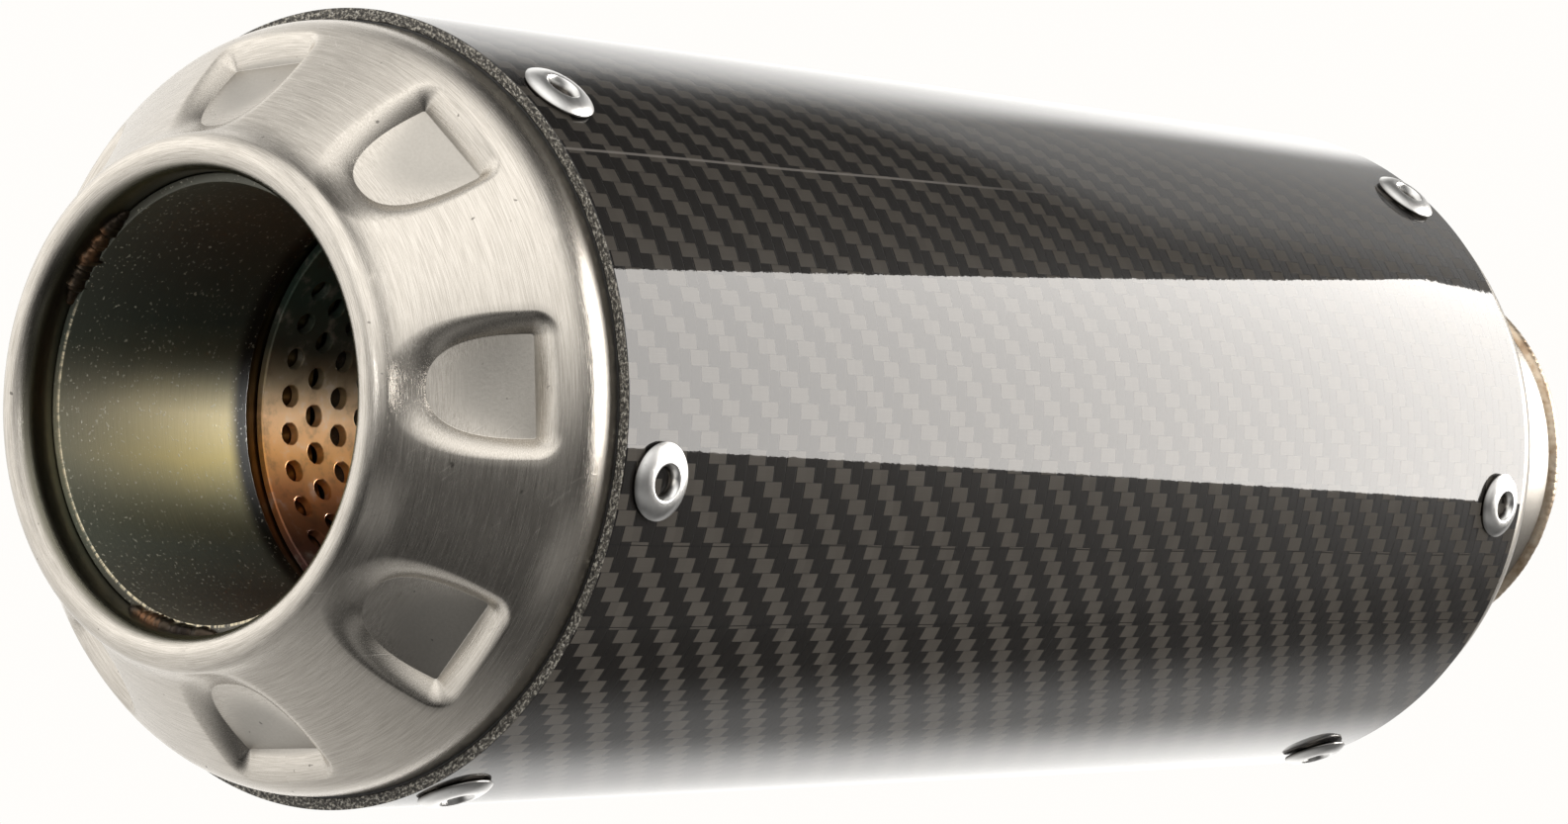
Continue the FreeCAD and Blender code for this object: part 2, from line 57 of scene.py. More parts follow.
sleeve_low, sleeve_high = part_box("carbon_sleeve")
OUTLET_EDGE = sleeve_low.x
LENGTH = (sleeve_high.x - sleeve_low.x) / MM
SLEEVE_RADIUS = 50.8
SLEEVE_WALL = 1.5
SHEET = 1.2
SKIRT_RADIUS = 49.0
SKIRT_DEPTH = 16.0
SHOULDER_RUN = 2.8
SHOULDER_BEND = 7.0
SLOPE = math.radians(43.5)
COVE_BEND = 8.0
LIP_BEND = 2.4
LIP_REACH = 25.2
SEAT_RADIUS = 28.65
FLANGE_END = -12.0
TUBE_RADIUS = 28.575
TUBE_WALL = 1.2
COLLAR_WALL = 0.9
CORE_RADIUS = 28.5
NECK_RADIUS = 30.0
NECK_BEND = 6.0
DIMPLE_COUNT = 8
RIVET_COUNT = 6
RIVET_CLOCK = math.radians(43.0)
RIVET_INSET = 6.8


def station(millimetres):
    return OUTLET_EDGE + millimetres * MM


def stations_of(node):
    """First and last station of a CAD node."""
    low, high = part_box(node)
    return (low.x - OUTLET_EDGE) / MM, (high.x - OUTLET_EDGE) / MM


def at(x, radius, clock):
    """The point at a station, radius and clock angle, in metres."""
    return Vector((station(x), -radius * MM * math.sin(clock), radius * MM * math.cos(clock)))


# ---- mesh helpers ----


def arc(centre, radius, start, end, steps):
    """Points of an arc in the (station, radius) plane, angles in degrees."""
    points = []
    for number in range(steps + 1):
        turn = math.radians(start + (end - start) * number / steps)
        points.append((centre[0] + radius * math.cos(turn), centre[1] + radius * math.sin(turn)))
    return points


def rounded(corners, bend, steps=5):
    """A closed outline with each corner rounded by the same small bend."""
    points = []
    count = len(corners)
    for number, corner in enumerate(corners):
        here = Vector(corner)
        before = (Vector(corners[number - 1]) - here).normalized()
        after = (Vector(corners[(number + 1) % count]) - here).normalized()
        start = here + before * bend
        end = here + after * bend
        for step in range(steps + 1):
            share = step / steps
            mixed = start * (1 - share) ** 2 + here * 2 * share * (1 - share) + end * share**2
            points.append((mixed.x, mixed.y))
    return points


def finish_piece(name, mesh_data, materials, nodes, sharp=None, outward=None):
    """Cleans a bmesh, makes the object and hangs it on the frame."""
    bmesh.ops.remove_doubles(mesh_data, verts=mesh_data.verts, dist=JOIN_DISTANCE)
    bmesh.ops.recalc_face_normals(mesh_data, faces=mesh_data.faces)
    if outward is not None:
        facing = sum(face.normal.dot(outward(face.calc_center_median())) for face in mesh_data.faces)
        if facing < 0:
            bmesh.ops.reverse_faces(mesh_data, faces=mesh_data.faces)
    mesh = bpy.data.meshes.new(name)
    mesh_data.to_mesh(mesh)
    mesh_data.free()
    mesh.shade_smooth()
    if sharp is not None:
        mesh.set_sharp_from_angle(angle=math.radians(sharp))
    for material in materials:
        mesh.materials.append(material)
    piece = bpy.data.objects.new(name, mesh)
    bpy.context.scene.collection.objects.link(piece)
    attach(piece, "root")
    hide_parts(*nodes)
    return piece


def add_grid(mesh_data, rows, close_rows=False, close_columns=False, material_of=None):
    """Quads between rows of points that are all as long as each other."""
    grid = [[mesh_data.verts.new(point) for point in row] for row in rows]
    height = len(grid)
    width = len(grid[0])
    for number in range(height if close_rows else height - 1):
        this_row = grid[number]
        next_row = grid[(number + 1) % height]
        for column in range(width if close_columns else width - 1):
            other = (column + 1) % width
            corners = (this_row[column], this_row[other], next_row[other], next_row[column])
            face = mesh_data.faces.new(corners)
            if material_of is not None:
                face.material_index = material_of(number)
    return grid


def clocks(count):
    return [TURN * number / count for number in range(count)]


def turned(name, outline, count, materials, nodes, sharp=None, material_of=None, shape=None):
    """A ring whose closed section is turned round the axis. shape may bend each point."""
    mesh_data = bmesh.new()
    rows = []
    for x, radius in outline:
        if shape is None:
            rows.append([at(x, radius, clock) for clock in clocks(count)])
        else:
            rows.append([at(*shape(x, radius, clock), clock) for clock in clocks(count)])
    add_grid(mesh_data, rows, True, True, material_of)
    return finish_piece(name, mesh_data, materials, nodes, sharp)


# ---- outlet cap: a turned sheet with dimples pressed into its cone ----

DIMPLE_DEPTH = 2.8
FLOOR_START = 3.2
FLOOR_LENGTH = 13.1
FLOOR_TILT = 1.1  # how much shallower the floor is at its round tip
FLOOR_DISH = 0.3
FLOOR_HALF_WIDTH = 6.3
FLOOR_CORNER = 0.3
FLAT_WALL = 3.1
SIDE_WALL = 2.75
TIP_WALL = 4.9
WALL_CURVE = 1.55
DIMPLE_POWER = 2.5
SECTOR_TOP = -5.2
SECTOR_BOTTOM = -24.0
COS_SLOPE = math.cos(SLOPE)
SIN_SLOPE = math.sin(SLOPE)
SHOULDER = (-SHOULDER_RUN, SKIRT_RADIUS - SHOULDER_BEND)
CONE_START = (
    SHOULDER[0] - SHOULDER_BEND * SIN_SLOPE,
    SHOULDER[1] + SHOULDER_BEND * COS_SLOPE,
)
LIP = (LIP_BEND - LIP_REACH, SEAT_RADIUS + LIP_BEND)


def cove_geometry():
    """Where the cone ends, the centre of the cove after it, and the lip's first angle."""
    along = (CONE_START[0] - LIP[0]) * COS_SLOPE + (CONE_START[1] - LIP[1]) * SIN_SLOPE
    above = (CONE_START[0] - LIP[0]) * SIN_SLOPE - (CONE_START[1] - LIP[1]) * COS_SLOPE
    foot = math.sqrt((COVE_BEND + LIP_BEND) ** 2 - (COVE_BEND - above) ** 2)
    run = along - foot
    end = (CONE_START[0] - COS_SLOPE * run, CONE_START[1] - SIN_SLOPE * run)
    centre = (end[0] - SIN_SLOPE * COVE_BEND, end[1] + COS_SLOPE * COVE_BEND)
    lip_angle = math.degrees(math.atan2(centre[1] - LIP[1], centre[0] - LIP[0]))
    return end, centre, lip_angle


CONE_END, COVE, LIP_ANGLE = cove_geometry()
LIP_JOIN = LIP[0] + LIP_BEND * math.cos(math.radians(LIP_ANGLE))


def cap_radius(x):
    """Radius of the cap's skin at a station, from its skirt to the front of its lip."""
    if x >= SHOULDER[0]:
        return SKIRT_RADIUS
    if x >= CONE_START[0]:
        return SHOULDER[1] + math.sqrt(SHOULDER_BEND**2 - (x - SHOULDER[0]) ** 2)
    if x >= CONE_END[0]:
        return CONE_START[1] + (x - CONE_START[0]) * math.tan(SLOPE)
    if x >= LIP_JOIN:
        return COVE[1] - math.sqrt(COVE_BEND**2 - (x - COVE[0]) ** 2)
    return LIP[1] + math.sqrt(max(LIP_BEND**2 - (x - LIP[0]) ** 2, 0.0))


def cone_point(down, across, height):
    """Station, side and radius of a point given in the tangent plane of a dimple."""
    x = CONE_START[0] - COS_SLOPE * down - SIN_SLOPE * height
    return x, across, CONE_START[1] - SIN_SLOPE * down + COS_SLOPE * height


def skin_height(down, across):
    """Height of the cap's skin over the tangent plane, found by bisection."""
    low, high = -6.0, 4.0
    for _ in range(40):
        middle = (low + high) / 2
        x, side, radius = cone_point(down, across, middle)
        if math.hypot(side, radius) > cap_radius(x):
            high = middle
        else:
            low = middle
    return (low + high) / 2


def dimple_edge():
    """Points round a dimple's floor as (corner centre, outward direction, width of the wall)."""
    start = FLOOR_START + FLOOR_CORNER
    half = FLOOR_HALF_WIDTH - FLOOR_CORNER
    reach = FLOOR_LENGTH - 2 * FLOOR_CORNER
    points = []
    flat_steps, fan_steps, bow_steps = 34, 9, 96
    for step in range(flat_steps):
        across = -half + 2 * half * step / flat_steps
        points.append((Vector((start, across)), Vector((-1, 0)), FLAT_WALL))
    for step in range(fan_steps):
        turn = math.pi / 2 * step / fan_steps
        width = FLAT_WALL + (SIDE_WALL - FLAT_WALL) * step / fan_steps
        direction = Vector((-math.cos(turn), math.sin(turn)))
        points.append((Vector((start, half)), direction, width))
    bow = []
    fine = 2000
    for step in range(fine + 1):
        turn = math.pi * (0.5 - step / fine)
        down = start + reach * abs(math.cos(turn)) ** (2 / DIMPLE_POWER)
        across = half * math.copysign(abs(math.sin(turn)) ** (2 / DIMPLE_POWER), turn)
        bow.append(Vector((down, across)))
    runs = [0.0]
    for first, second in zip(bow, bow[1:]):
        runs.append(runs[-1] + (second - first).length)
    index = 0
    for step in range(bow_steps + 1):
        goal = runs[-1] * step / bow_steps
        while index < fine - 1 and runs[index + 1] < goal:
            index += 1
        here = bow[index] + (bow[index + 1] - bow[index]) * (
            (goal - runs[index]) / max(runs[index + 1] - runs[index], 1e-9)
        )
        along = (bow[min(index + 6, fine)] - bow[max(index - 5, 0)]).normalized()
        direction = Vector((-along.y, along.x))
        if step in (0, bow_steps):
            direction = Vector((0, 1 if step == 0 else -1))
        width = SIDE_WALL + (TIP_WALL - SIDE_WALL) * max(direction.x, 0.0) ** 1.5
        points.append((here, direction, width))
    for step in range(1, fan_steps):
        turn = math.pi / 2 * (1 - step / fan_steps)
        width = SIDE_WALL + (FLAT_WALL - SIDE_WALL) * step / fan_steps
        direction = Vector((-math.cos(turn), -math.sin(turn)))
        points.append((Vector((start, -half)), direction, width))
    return points


def sector_border(edge_points):
    """Where rays through the dimple's edge meet its sector's border, as (station, clock)."""
    half_sector = TURN / DIMPLE_COUNT / 2
    middle = (SECTOR_TOP + SECTOR_BOTTOM) / 2
    half_run = (SECTOR_TOP - SECTOR_BOTTOM) / 2
    border = []
    for x, clock in edge_points:
        across = clock / half_sector
        along = (x - middle) / half_run
        stretch = 1 / max(abs(across), abs(along))
        border.append([middle + along * stretch * half_run, across * stretch * half_sector])
    for corner_x in (SECTOR_TOP, SECTOR_BOTTOM):
        for corner_clock in (half_sector, -half_sector):
            nearest = min(
                range(len(border)),
                key=lambda number: abs(border[number][0] - corner_x) / half_run
                + abs(border[number][1] - corner_clock) / half_sector,
            )
            border[nearest] = [corner_x, corner_clock]
    return border


def dimple_rings():
    """One sector of the cap as closed rings of (station, radius, clock), from the floor out."""
    edge = dimple_edge()
    centre = Vector((FLOOR_START + FLOOR_LENGTH * 0.45, 0))
    rings = []

    def pressed(flat_points, share):
        """A ring in the tangent plane, sunk by its share of the dimple's depth and by its dish."""
        ring = []
        for point in flat_points:
            down = (point.x - FLOOR_START) / FLOOR_LENGTH
            across = point.y / FLOOR_HALF_WIDTH
            dish = FLOOR_DISH * max(4 * down * (1 - down) * (1 - across**2), 0.0)
            sunk = DIMPLE_DEPTH - FLOOR_TILT * down + dish
            height = skin_height(point.x, point.y) * (1 - share) - sunk * share
            x, side, radius = cone_point(point.x, point.y, height)
            ring.append((x, math.hypot(side, radius), math.atan2(side, radius)))
        return ring

    floor = [point + direction * FLOOR_CORNER for point, direction, _ in edge]
    for share in (0.04, 0.18, 0.32, 0.46, 0.6, 0.72, 0.83, 0.92, 0.97, 0.99):
        rings.append(pressed([centre.lerp(point, share) for point in floor], 1.0))
    for out in (0.0, 0.02, 0.05, 0.1, 0.17, 0.25, 0.34, 0.44, 0.54, 0.64, 0.74, 0.83, 0.92, 1.0):
        wall = [
            point + direction * (FLOOR_CORNER + width * out) for point, direction, width in edge
        ]
        rings.append(pressed(wall, (1 - out) ** WALL_CURVE))
    skin = [(x, clock) for x, _, clock in rings[-1]]
    border = sector_border(skin)
    for share in (0.12, 0.28, 0.46, 0.64, 0.82, 1.0):
        ring = []
        for (x, clock), (border_x, border_clock) in zip(skin, border):
            ring_x = x + (border_x - x) * share
            ring.append((ring_x, cap_radius(ring_x), clock + (border_clock - clock) * share))
        rings.append(ring)
    return rings, border


def strip_clocks(border, edge_x):
    """The clock angles, round the whole turn, of the border points on one edge of the sectors."""
    sector = TURN / DIMPLE_COUNT
    own = sorted({round(clock, 9) for x, clock in border if abs(x - edge_x) < 1e-9})
    angles = []
    for number in range(DIMPLE_COUNT):
        angles.extend(clock + sector * number for clock in own[:-1])
    return angles


def make_outlet_cap(metal):
    mesh_data = bmesh.new()
    rings, border = dimple_rings()
    for number in range(DIMPLE_COUNT):
        turn = TURN * number / DIMPLE_COUNT
        rows = [[at(x, radius, clock + turn) for x, radius, clock in ring] for ring in rings]
        grid = add_grid(mesh_data, rows, False, True)
        mesh_data.faces.new(grid[0])
    skirt = [(SKIRT_DEPTH, SKIRT_RADIUS), (4.0, SKIRT_RADIUS), (0.5, SKIRT_RADIUS)]
    shoulder_end = 90 + math.degrees(math.asin((SHOULDER[0] - SECTOR_TOP) / SHOULDER_BEND))
    outer = skirt + arc(SHOULDER, SHOULDER_BEND, 90, shoulder_end, 8)
    outer[-1] = (SECTOR_TOP, cap_radius(SECTOR_TOP))
    lip_start = math.degrees(math.acos((SECTOR_BOTTOM - LIP[0]) / LIP_BEND))
    inner = arc(LIP, LIP_BEND, lip_start, 270, 22)
    inner[0] = (SECTOR_BOTTOM, cap_radius(SECTOR_BOTTOM))
    inner += [(x, SEAT_RADIUS) for x in (-21.0, -18.0, FLANGE_END)]
    for outline, edge_x in ((outer, SECTOR_TOP), (inner, SECTOR_BOTTOM)):
        angles = strip_clocks(border, edge_x)
        rows = [[at(x, radius, clock) for clock in angles] for x, radius in outline]
        add_grid(mesh_data, rows, False, True)

    hollow_station = 4.0
    hollow_radius = 40.0

    def outward(point):
        """Away from the ring that runs through the middle of the cap's hollow."""
        flat = Vector((0, point.y, point.z)).normalized()
        return point - (flat * hollow_radius * MM + Vector((station(hollow_station), 0, 0)))

    piece = finish_piece(
        "outlet_cap_pressed", mesh_data, [metal], ["outlet_end_cap"],
        outward=outward,
    )
    wall = piece.modifiers.new("sheet", "SOLIDIFY")
    wall.thickness = SHEET * MM
    wall.offset = -1
    return piece


# ---- inlet cap ----


def make_inlet_cap(metal):
    """Skirt, shoulder, cone and neck, as a turned outline with the sheet's two faces."""
    reach = stations_of("inlet_end_cap")[1]

    def face(offset):
        """One face of the sheet from the skirt's end to the neck's end."""
        shoulder = (LENGTH + SHOULDER_RUN, SHOULDER[1])
        bend = SHOULDER_BEND - offset
        fillet = NECK_BEND + offset
        neck = NECK_RADIUS - offset
        start_x = shoulder[0] + bend * SIN_SLOPE
        start_radius = shoulder[1] + bend * COS_SLOPE
        run = (start_radius + COS_SLOPE * fillet - neck - fillet) / SIN_SLOPE
        centre = (start_x + COS_SLOPE * run + SIN_SLOPE * fillet, neck + fillet)
        skirt = [(LENGTH - SKIRT_DEPTH, SKIRT_RADIUS - offset)]
        slope = math.degrees(SLOPE)
        round_shoulder = arc(shoulder, bend, 90, 90 - slope, 12)
        round_neck = arc(centre, fillet, 270 - slope, 270, 14)
        return skirt + round_shoulder + round_neck + [(reach, neck)]

    outline = face(0.0) + face(SHEET)[::-1]
    return turned(
        "inlet_cap_pressed", outline, 320, [metal], ["inlet_end_cap"], 40
    )


# ---- sleeve ----


def make_sleeve(weave, cut_edge):
    bore = SLEEVE_RADIUS - SLEEVE_WALL
    steps = 5
    corners = [(0.0, bore), (0.0, SLEEVE_RADIUS), (LENGTH, SLEEVE_RADIUS), (LENGTH, bore)]
    edge_round = 0.16
    outline = rounded(corners, edge_round, steps)

    def material_of(number):
        """The cut ends run from the middle of one rounded corner to the middle of the next."""
        corner, step = divmod(number, steps + 1)
        if corner in (0, 2):
            return 1 if step > 0 else 0
        return 1 if step < 2 else 0

    return turned(
        "sleeve_woven", outline, 400, [weave, cut_edge], ["carbon_sleeve"], 50,
        material_of,
    )


# ---- gas path ----


TUBE_EDGE = 0.18  # rounding of a tube's cut edges


def make_tube(name, node, wall, outer, material):
    first, last = stations_of(node)
    corners = [(first, outer - wall), (first, outer), (last, outer), (last, outer - wall)]
    return turned(name, rounded(corners, TUBE_EDGE, 4), 240, [material], [node], 50)


HOLES_ROUND = 34
HOLE_RADIUS = 1.5
HOLE_BREAK = 0.14  # how much wider a hole is at the bore, where its edge is broken
HOLE_BREAK_DEPTH = 0.1
ROW_PITCH = 4.65
FIRST_ROW = 21.6
CELL_STEPS = 6  # steps along the clock-wise edges of one hole's cell, even so that rows match
CELL_SIDE_STEPS = 3
HOLES_TURN = math.radians(2.7)


def cell_border():
    """A unit square's border, from -1 to 1 each way, as the points of one hole's cell."""
    points = []
    for step in range(CELL_STEPS):
        points.append((-1.0, -1 + 2 * step / CELL_STEPS))
    for step in range(CELL_SIDE_STEPS):
        points.append((-1 + 2 * step / CELL_SIDE_STEPS, 1.0))
    for step in range(CELL_STEPS):
        points.append((1.0, 1 - 2 * step / CELL_STEPS))
    for step in range(CELL_SIDE_STEPS):
        points.append((1 - 2 * step / CELL_SIDE_STEPS, -1.0))
    return points


def make_core(metal):
    """The core with every one of its holes cut through, rows staggered by half a pitch."""
    first, last = stations_of("perforated_core")
    bore = CORE_RADIUS - TUBE_WALL
    clock_pitch = TURN / HOLES_ROUND
    rows = int((last - 2.0 - FIRST_ROW) / ROW_PITCH)
    border = cell_border()
    mesh_data = bmesh.new()

    def ring(centre_x, centre_clock, reach, radius):
        """The cell's ring at a reach from the hole's centre; None is the cell's border."""
        points = []
        for along, across in border:
            if reach is None:
                x = centre_x + along * ROW_PITCH / 2
                clock = centre_clock + across * clock_pitch / 2
            else:
                length = math.hypot(along, across)
                x = centre_x + along / length * reach
                clock = centre_clock + across / length * reach / radius
            points.append(at(x, radius, clock))
        return points

    for row in range(rows):
        centre_x = FIRST_ROW + row * ROW_PITCH
        for column in range(HOLES_ROUND):
            centre_clock = clock_pitch * (column + row % 2 / 2) + HOLES_TURN
            rings = [
                ring(centre_x, centre_clock, None, bore),
                ring(centre_x, centre_clock, HOLE_RADIUS + HOLE_BREAK, bore),
                ring(centre_x, centre_clock, HOLE_RADIUS, bore + HOLE_BREAK_DEPTH),
                ring(centre_x, centre_clock, HOLE_RADIUS, CORE_RADIUS),
                ring(centre_x, centre_clock, None, CORE_RADIUS),
            ]
            add_grid(mesh_data, rings, False, True)
    holes_start = FIRST_ROW - ROW_PITCH / 2
    holes_end = FIRST_ROW + (rows - 0.5) * ROW_PITCH
    steps = CELL_STEPS * HOLES_ROUND
    angles = [(number / CELL_STEPS - 0.5) * clock_pitch + HOLES_TURN for number in range(steps)]

    def plain_end(end, inward):
        """The end strip without holes, from the bore round the cut edge to the outside."""
        holes_edge = holes_start if inward > 0 else holes_end
        edge = end + TUBE_EDGE * inward
        return [
            (holes_edge, bore),
            (edge, bore),
            (end, bore + TUBE_EDGE),
            (end, CORE_RADIUS - TUBE_EDGE),
            (edge, CORE_RADIUS),
            (holes_edge, CORE_RADIUS),
        ]

    for outline in (plain_end(first, 1), plain_end(last, -1)):
        rows_of_end = [[at(x, radius, clock) for clock in angles] for x, radius in outline]
        add_grid(mesh_data, rows_of_end, False, True)
    return finish_piece(
        "core_perforated", mesh_data, [metal], ["perforated_core"], 22
    )


# ---- welds ----


def make_inlet_bead(metal):
    """The weld ring at the end of the neck, with the ripples of a hand-run bead."""
    first, last = stations_of("inlet_weld_bead")
    root = NECK_RADIUS - 1.35
    middle = (first + last) / 2
    half = (last - first) / 2
    height = 2.25
    outline = [
        (middle + half * math.cos(math.radians(turn)), root + height * math.sin(math.radians(turn)))
        for turn in range(0, 181, 12)
    ]
    outline.append((middle, root - 0.05))
    ripples = 150

    def shape(x, radius, clock):
        """Crescent ripples, a little uneven, that fade out towards the bead's toes."""
        crown = max((radius - root) / height, 0.0)
        lag = 0.7 * ((x - middle) / half) ** 2
        uneven = noise.noise(Vector((math.cos(clock) * 5, math.sin(clock) * 5, 0.3)))
        phase = (clock * ripples / TURN + lag + uneven * 0.8) % 1.0
        drop = 0.06 * (1 - phase) ** 2 + 0.16 * abs(uneven)
        return x, radius - drop * crown

    return turned(
        "inlet_bead_rippled", outline, 1180, [metal], ["inlet_weld_bead"], 60, None, shape
    )


def make_tacks(metal):
    """Three lumpy tack welds in the cap's flange, which lap over the tube's front edge."""
    first, last = stations_of("outlet_tack_welds")
    tack_clock = math.radians(-45.0)
    half_sweep = math.radians(16.0)
    depth = 1.5
    lap = ((0.7, 1.48), (1.2, 1.36), (1.3, 1.1))  # how far past the edge, and how deep, it goes
    steps, section_steps = 72, 12
    mesh_data = bmesh.new()
    for tack in range(3):
        middle = tack_clock + TURN * tack / 3
        rows = []
        for step in range(steps + 1):
            share = step / steps * 2 - 1
            clock = middle + half_sweep * share
            spot = Vector((step * 0.16, tack * 7.0, 0.5))
            lump = noise.noise(spot) * 0.3 + noise.noise(spot * 3.1) * 0.16
            swell = max(1 - abs(share) ** 3.0, 0.0) ** 0.5
            size = swell * min(0.82 + lump, 1.0)
            row = []
            for number in range(section_steps + 1):
                turn = math.pi / 2 * number / section_steps
                x = last - (last - first) * size * math.cos(turn) ** 0.8
                radius = SEAT_RADIUS - depth * size * math.sin(turn) ** 0.8
                row.append(at(x, radius, clock))
            for lap_reach, lap_depth in lap:
                row.append(at(last + lap_reach * size, SEAT_RADIUS - lap_depth * size, clock))
            row.append(at(last + 0.2 * size, SEAT_RADIUS, clock))
            rows.append(row)
        add_grid(mesh_data, rows, False, True)
        for row in (rows[0], rows[-1]):
            mesh_data.faces.new([mesh_data.verts.new(point) for point in row])
    return finish_piece(
        "tack_welds_lumpy", mesh_data, [metal], ["outlet_tack_welds"], 60
    )


# ---- rivets ----


def make_rivets(end, metal):
    """Six dome-head blind rivets: a sloping flange, a raised ring and a countersunk mouth."""
    inset = RIVET_INSET if end == "outlet" else LENGTH - RIVET_INSET
    seat = SLEEVE_RADIUS + 0.02
    bore, shank, brim, brim_bend = 1.45, 2.4, 4.6, 0.25
    blind_end = -3.6
    outline = [(bore, blind_end), (shank, blind_end), (shank, 0.0), (brim, 0.0)]
    outline += arc((brim, brim_bend), brim_bend, -90, 45, 6)
    outline += arc((2.3, -2.6), 3.98, 49, 83, 9)
    outline += arc((2.5, 1.02), 0.35, 75, 165, 6)
    outline += [(2.02, 0.9), (1.9, 0.3), (1.8, -0.1), (bore, -0.38)]
    count = 72
    mesh_data = bmesh.new()
    for number in range(RIVET_COUNT):
        clock = RIVET_CLOCK + TURN * number / RIVET_COUNT
        up = at(inset, 1.0, clock) - at(inset, 0.0, clock)
        up.normalize()
        axis = Vector((1, 0, 0))
        side = up.cross(axis)
        foot = at(inset, seat, clock)
        rows = []
        for radius, height in outline:
            row = []
            for turn in clocks(count):
                outwards = axis * math.cos(turn) + side * math.sin(turn)
                row.append(foot + outwards * radius * MM + up * height * MM)
            rows.append(row)
        add_grid(mesh_data, rows, True, True)
    return finish_piece(
        f"{end}_rivets_domed", mesh_data, [metal], [f"{end}_rivets"], 42
    )


# ---- node materials ----


class Nodes:
    """Short ways to add nodes to a tree and to link them."""

    def __init__(self, tree):
        self.tree = tree

    def add(self, kind, **settings):
        node = self.tree.nodes.new("ShaderNode" + kind)
        for key, value in settings.items():
            setattr(node, key, value)
        return node

    def feed(self, value, socket):
        if isinstance(value, bpy.types.NodeSocket):
            self.tree.links.new(value, socket)
        else:
            socket.default_value = value

    def feed_all(self, values, node):
        for number, value in enumerate(values):
            self.feed(value, node.inputs[number])
        return node.outputs[0]

    def math(self, operation, *values):
        return self.feed_all(values, self.add("Math", operation=operation))

    def times(self, first, second):
        return self.math("MULTIPLY", first, second)

    def plus(self, first, second):
        return self.math("ADD", first, second)

    def minus(self, first, second):
        return self.math("SUBTRACT", first, second)

    def step(self, value, low, high):
        """0 at low, 1 at high, smooth between and level beyond."""
        node = self.add("MapRange", interpolation_type="SMOOTHSTEP")
        return self.feed_all((value, low, high, 0.0, 1.0), node)

    def scaled(self, value, low, high):
        """Maps 0..1 to low..high."""
        return self.math("MULTIPLY_ADD", value, high - low, low)

    def split(self, vector):
        node = self.add("SeparateXYZ")
        self.feed(vector, node.inputs[0])
        return node.outputs


class Graph(Nodes):
    """A new material's nodes, with the places that its patterns are laid on."""

    def __init__(self, name):
        self.material = bpy.data.materials.new(name)
        self.material.use_nodes = True
        super().__init__(self.material.node_tree)
        self.shader = self.tree.nodes["Principled BSDF"]
        self.place = self.add("TexCoord").outputs["Object"]
        self.x, self.y, self.z = self.split(self.place)
        self.clock = self.math("ARCTAN2", self.times(self.y, -1.0), self.z)
        squares = [self.times(side, side) for side in (self.y, self.z)]
        self.radius = self.math("SQRT", self.plus(*squares))

    def set(self, **values):
        """Sets or links sockets of the Principled shader, named with underscores for spaces."""
        for key, value in values.items():
            self.feed(value, self.shader.inputs[key.replace("_", " ")])

    def vector(self, x, y, z):
        return self.feed_all((x, y, z), self.add("CombineXYZ"))

    def straight(self, x_scale, y_scale, z_scale):
        """The piece's own coordinates, each stretched by its scale."""
        return self.vector(
            self.times(self.x, x_scale), self.times(self.y, y_scale), self.times(self.z, z_scale)
        )

    def wrapped(self, x_scale, clock_scale, radius_scale):
        """Coordinates along, round and out from the axis, each stretched by its scale."""
        return self.vector(
            self.times(self.x, x_scale),
            self.times(self.clock, clock_scale),
            self.times(self.radius, radius_scale),
        )

    def noise(self, vector, scale, detail=2.0, roughness=0.5):
        node = self.add("TexNoise")
        self.feed(vector, node.inputs["Vector"])
        self.feed(scale, node.inputs["Scale"])
        self.feed(detail, node.inputs["Detail"])
        self.feed(roughness, node.inputs["Roughness"])
        return node.outputs[0]

    def mix(self, share, first, second):
        node = self.add("Mix", data_type="RGBA")
        self.feed(share, node.inputs[0])
        self.feed(first, node.inputs[6])
        self.feed(second, node.inputs[7])
        return node.outputs[2]

    def ramp(self, value, stops):
        node = self.add("ValToRGB")
        elements = node.color_ramp.elements
        while len(elements) < len(stops):
            elements.new(0.5)
        for element, (position, colour) in zip(elements, stops):
            element.position = position
            element.color = (*colour, 1.0)
        self.feed(value, node.inputs[0])
        return node.outputs[0]

    def bump(self, height, distance, strength=1.0):
        node = self.add("Bump")
        self.feed(height, node.inputs["Height"])
        self.feed(distance, node.inputs["Distance"])
        self.feed(strength, node.inputs["Strength"])
        return node.outputs[0]

    def tangent(self):
        """The direction round the axis, for brushed metal."""
        return self.add("Tangent", direction_type="RADIAL", axis="X").outputs[0]


def grey(level):
    return (level, level, level, 1.0)


TOW_RUN = 1.945  # millimetres along the axis from one hoop tow to the next
TOWS_ROUND = 160  # axial tows round the sleeve, a multiple of the weave's 4
SEAM_CLOCKS = (112.0, 124.6, 139.5, -72.0, 8.0)  # degrees, thin dark lines between plies
HIGHLIGHT_LINE_CLOCK = 54.7  # degrees, where a thin pale painted highlight, tow edges catching light, leaves the outlet edge
HIGHLIGHT_LINE_SLANT = 18.0  # degrees that the painted highlight line turns back over one metre
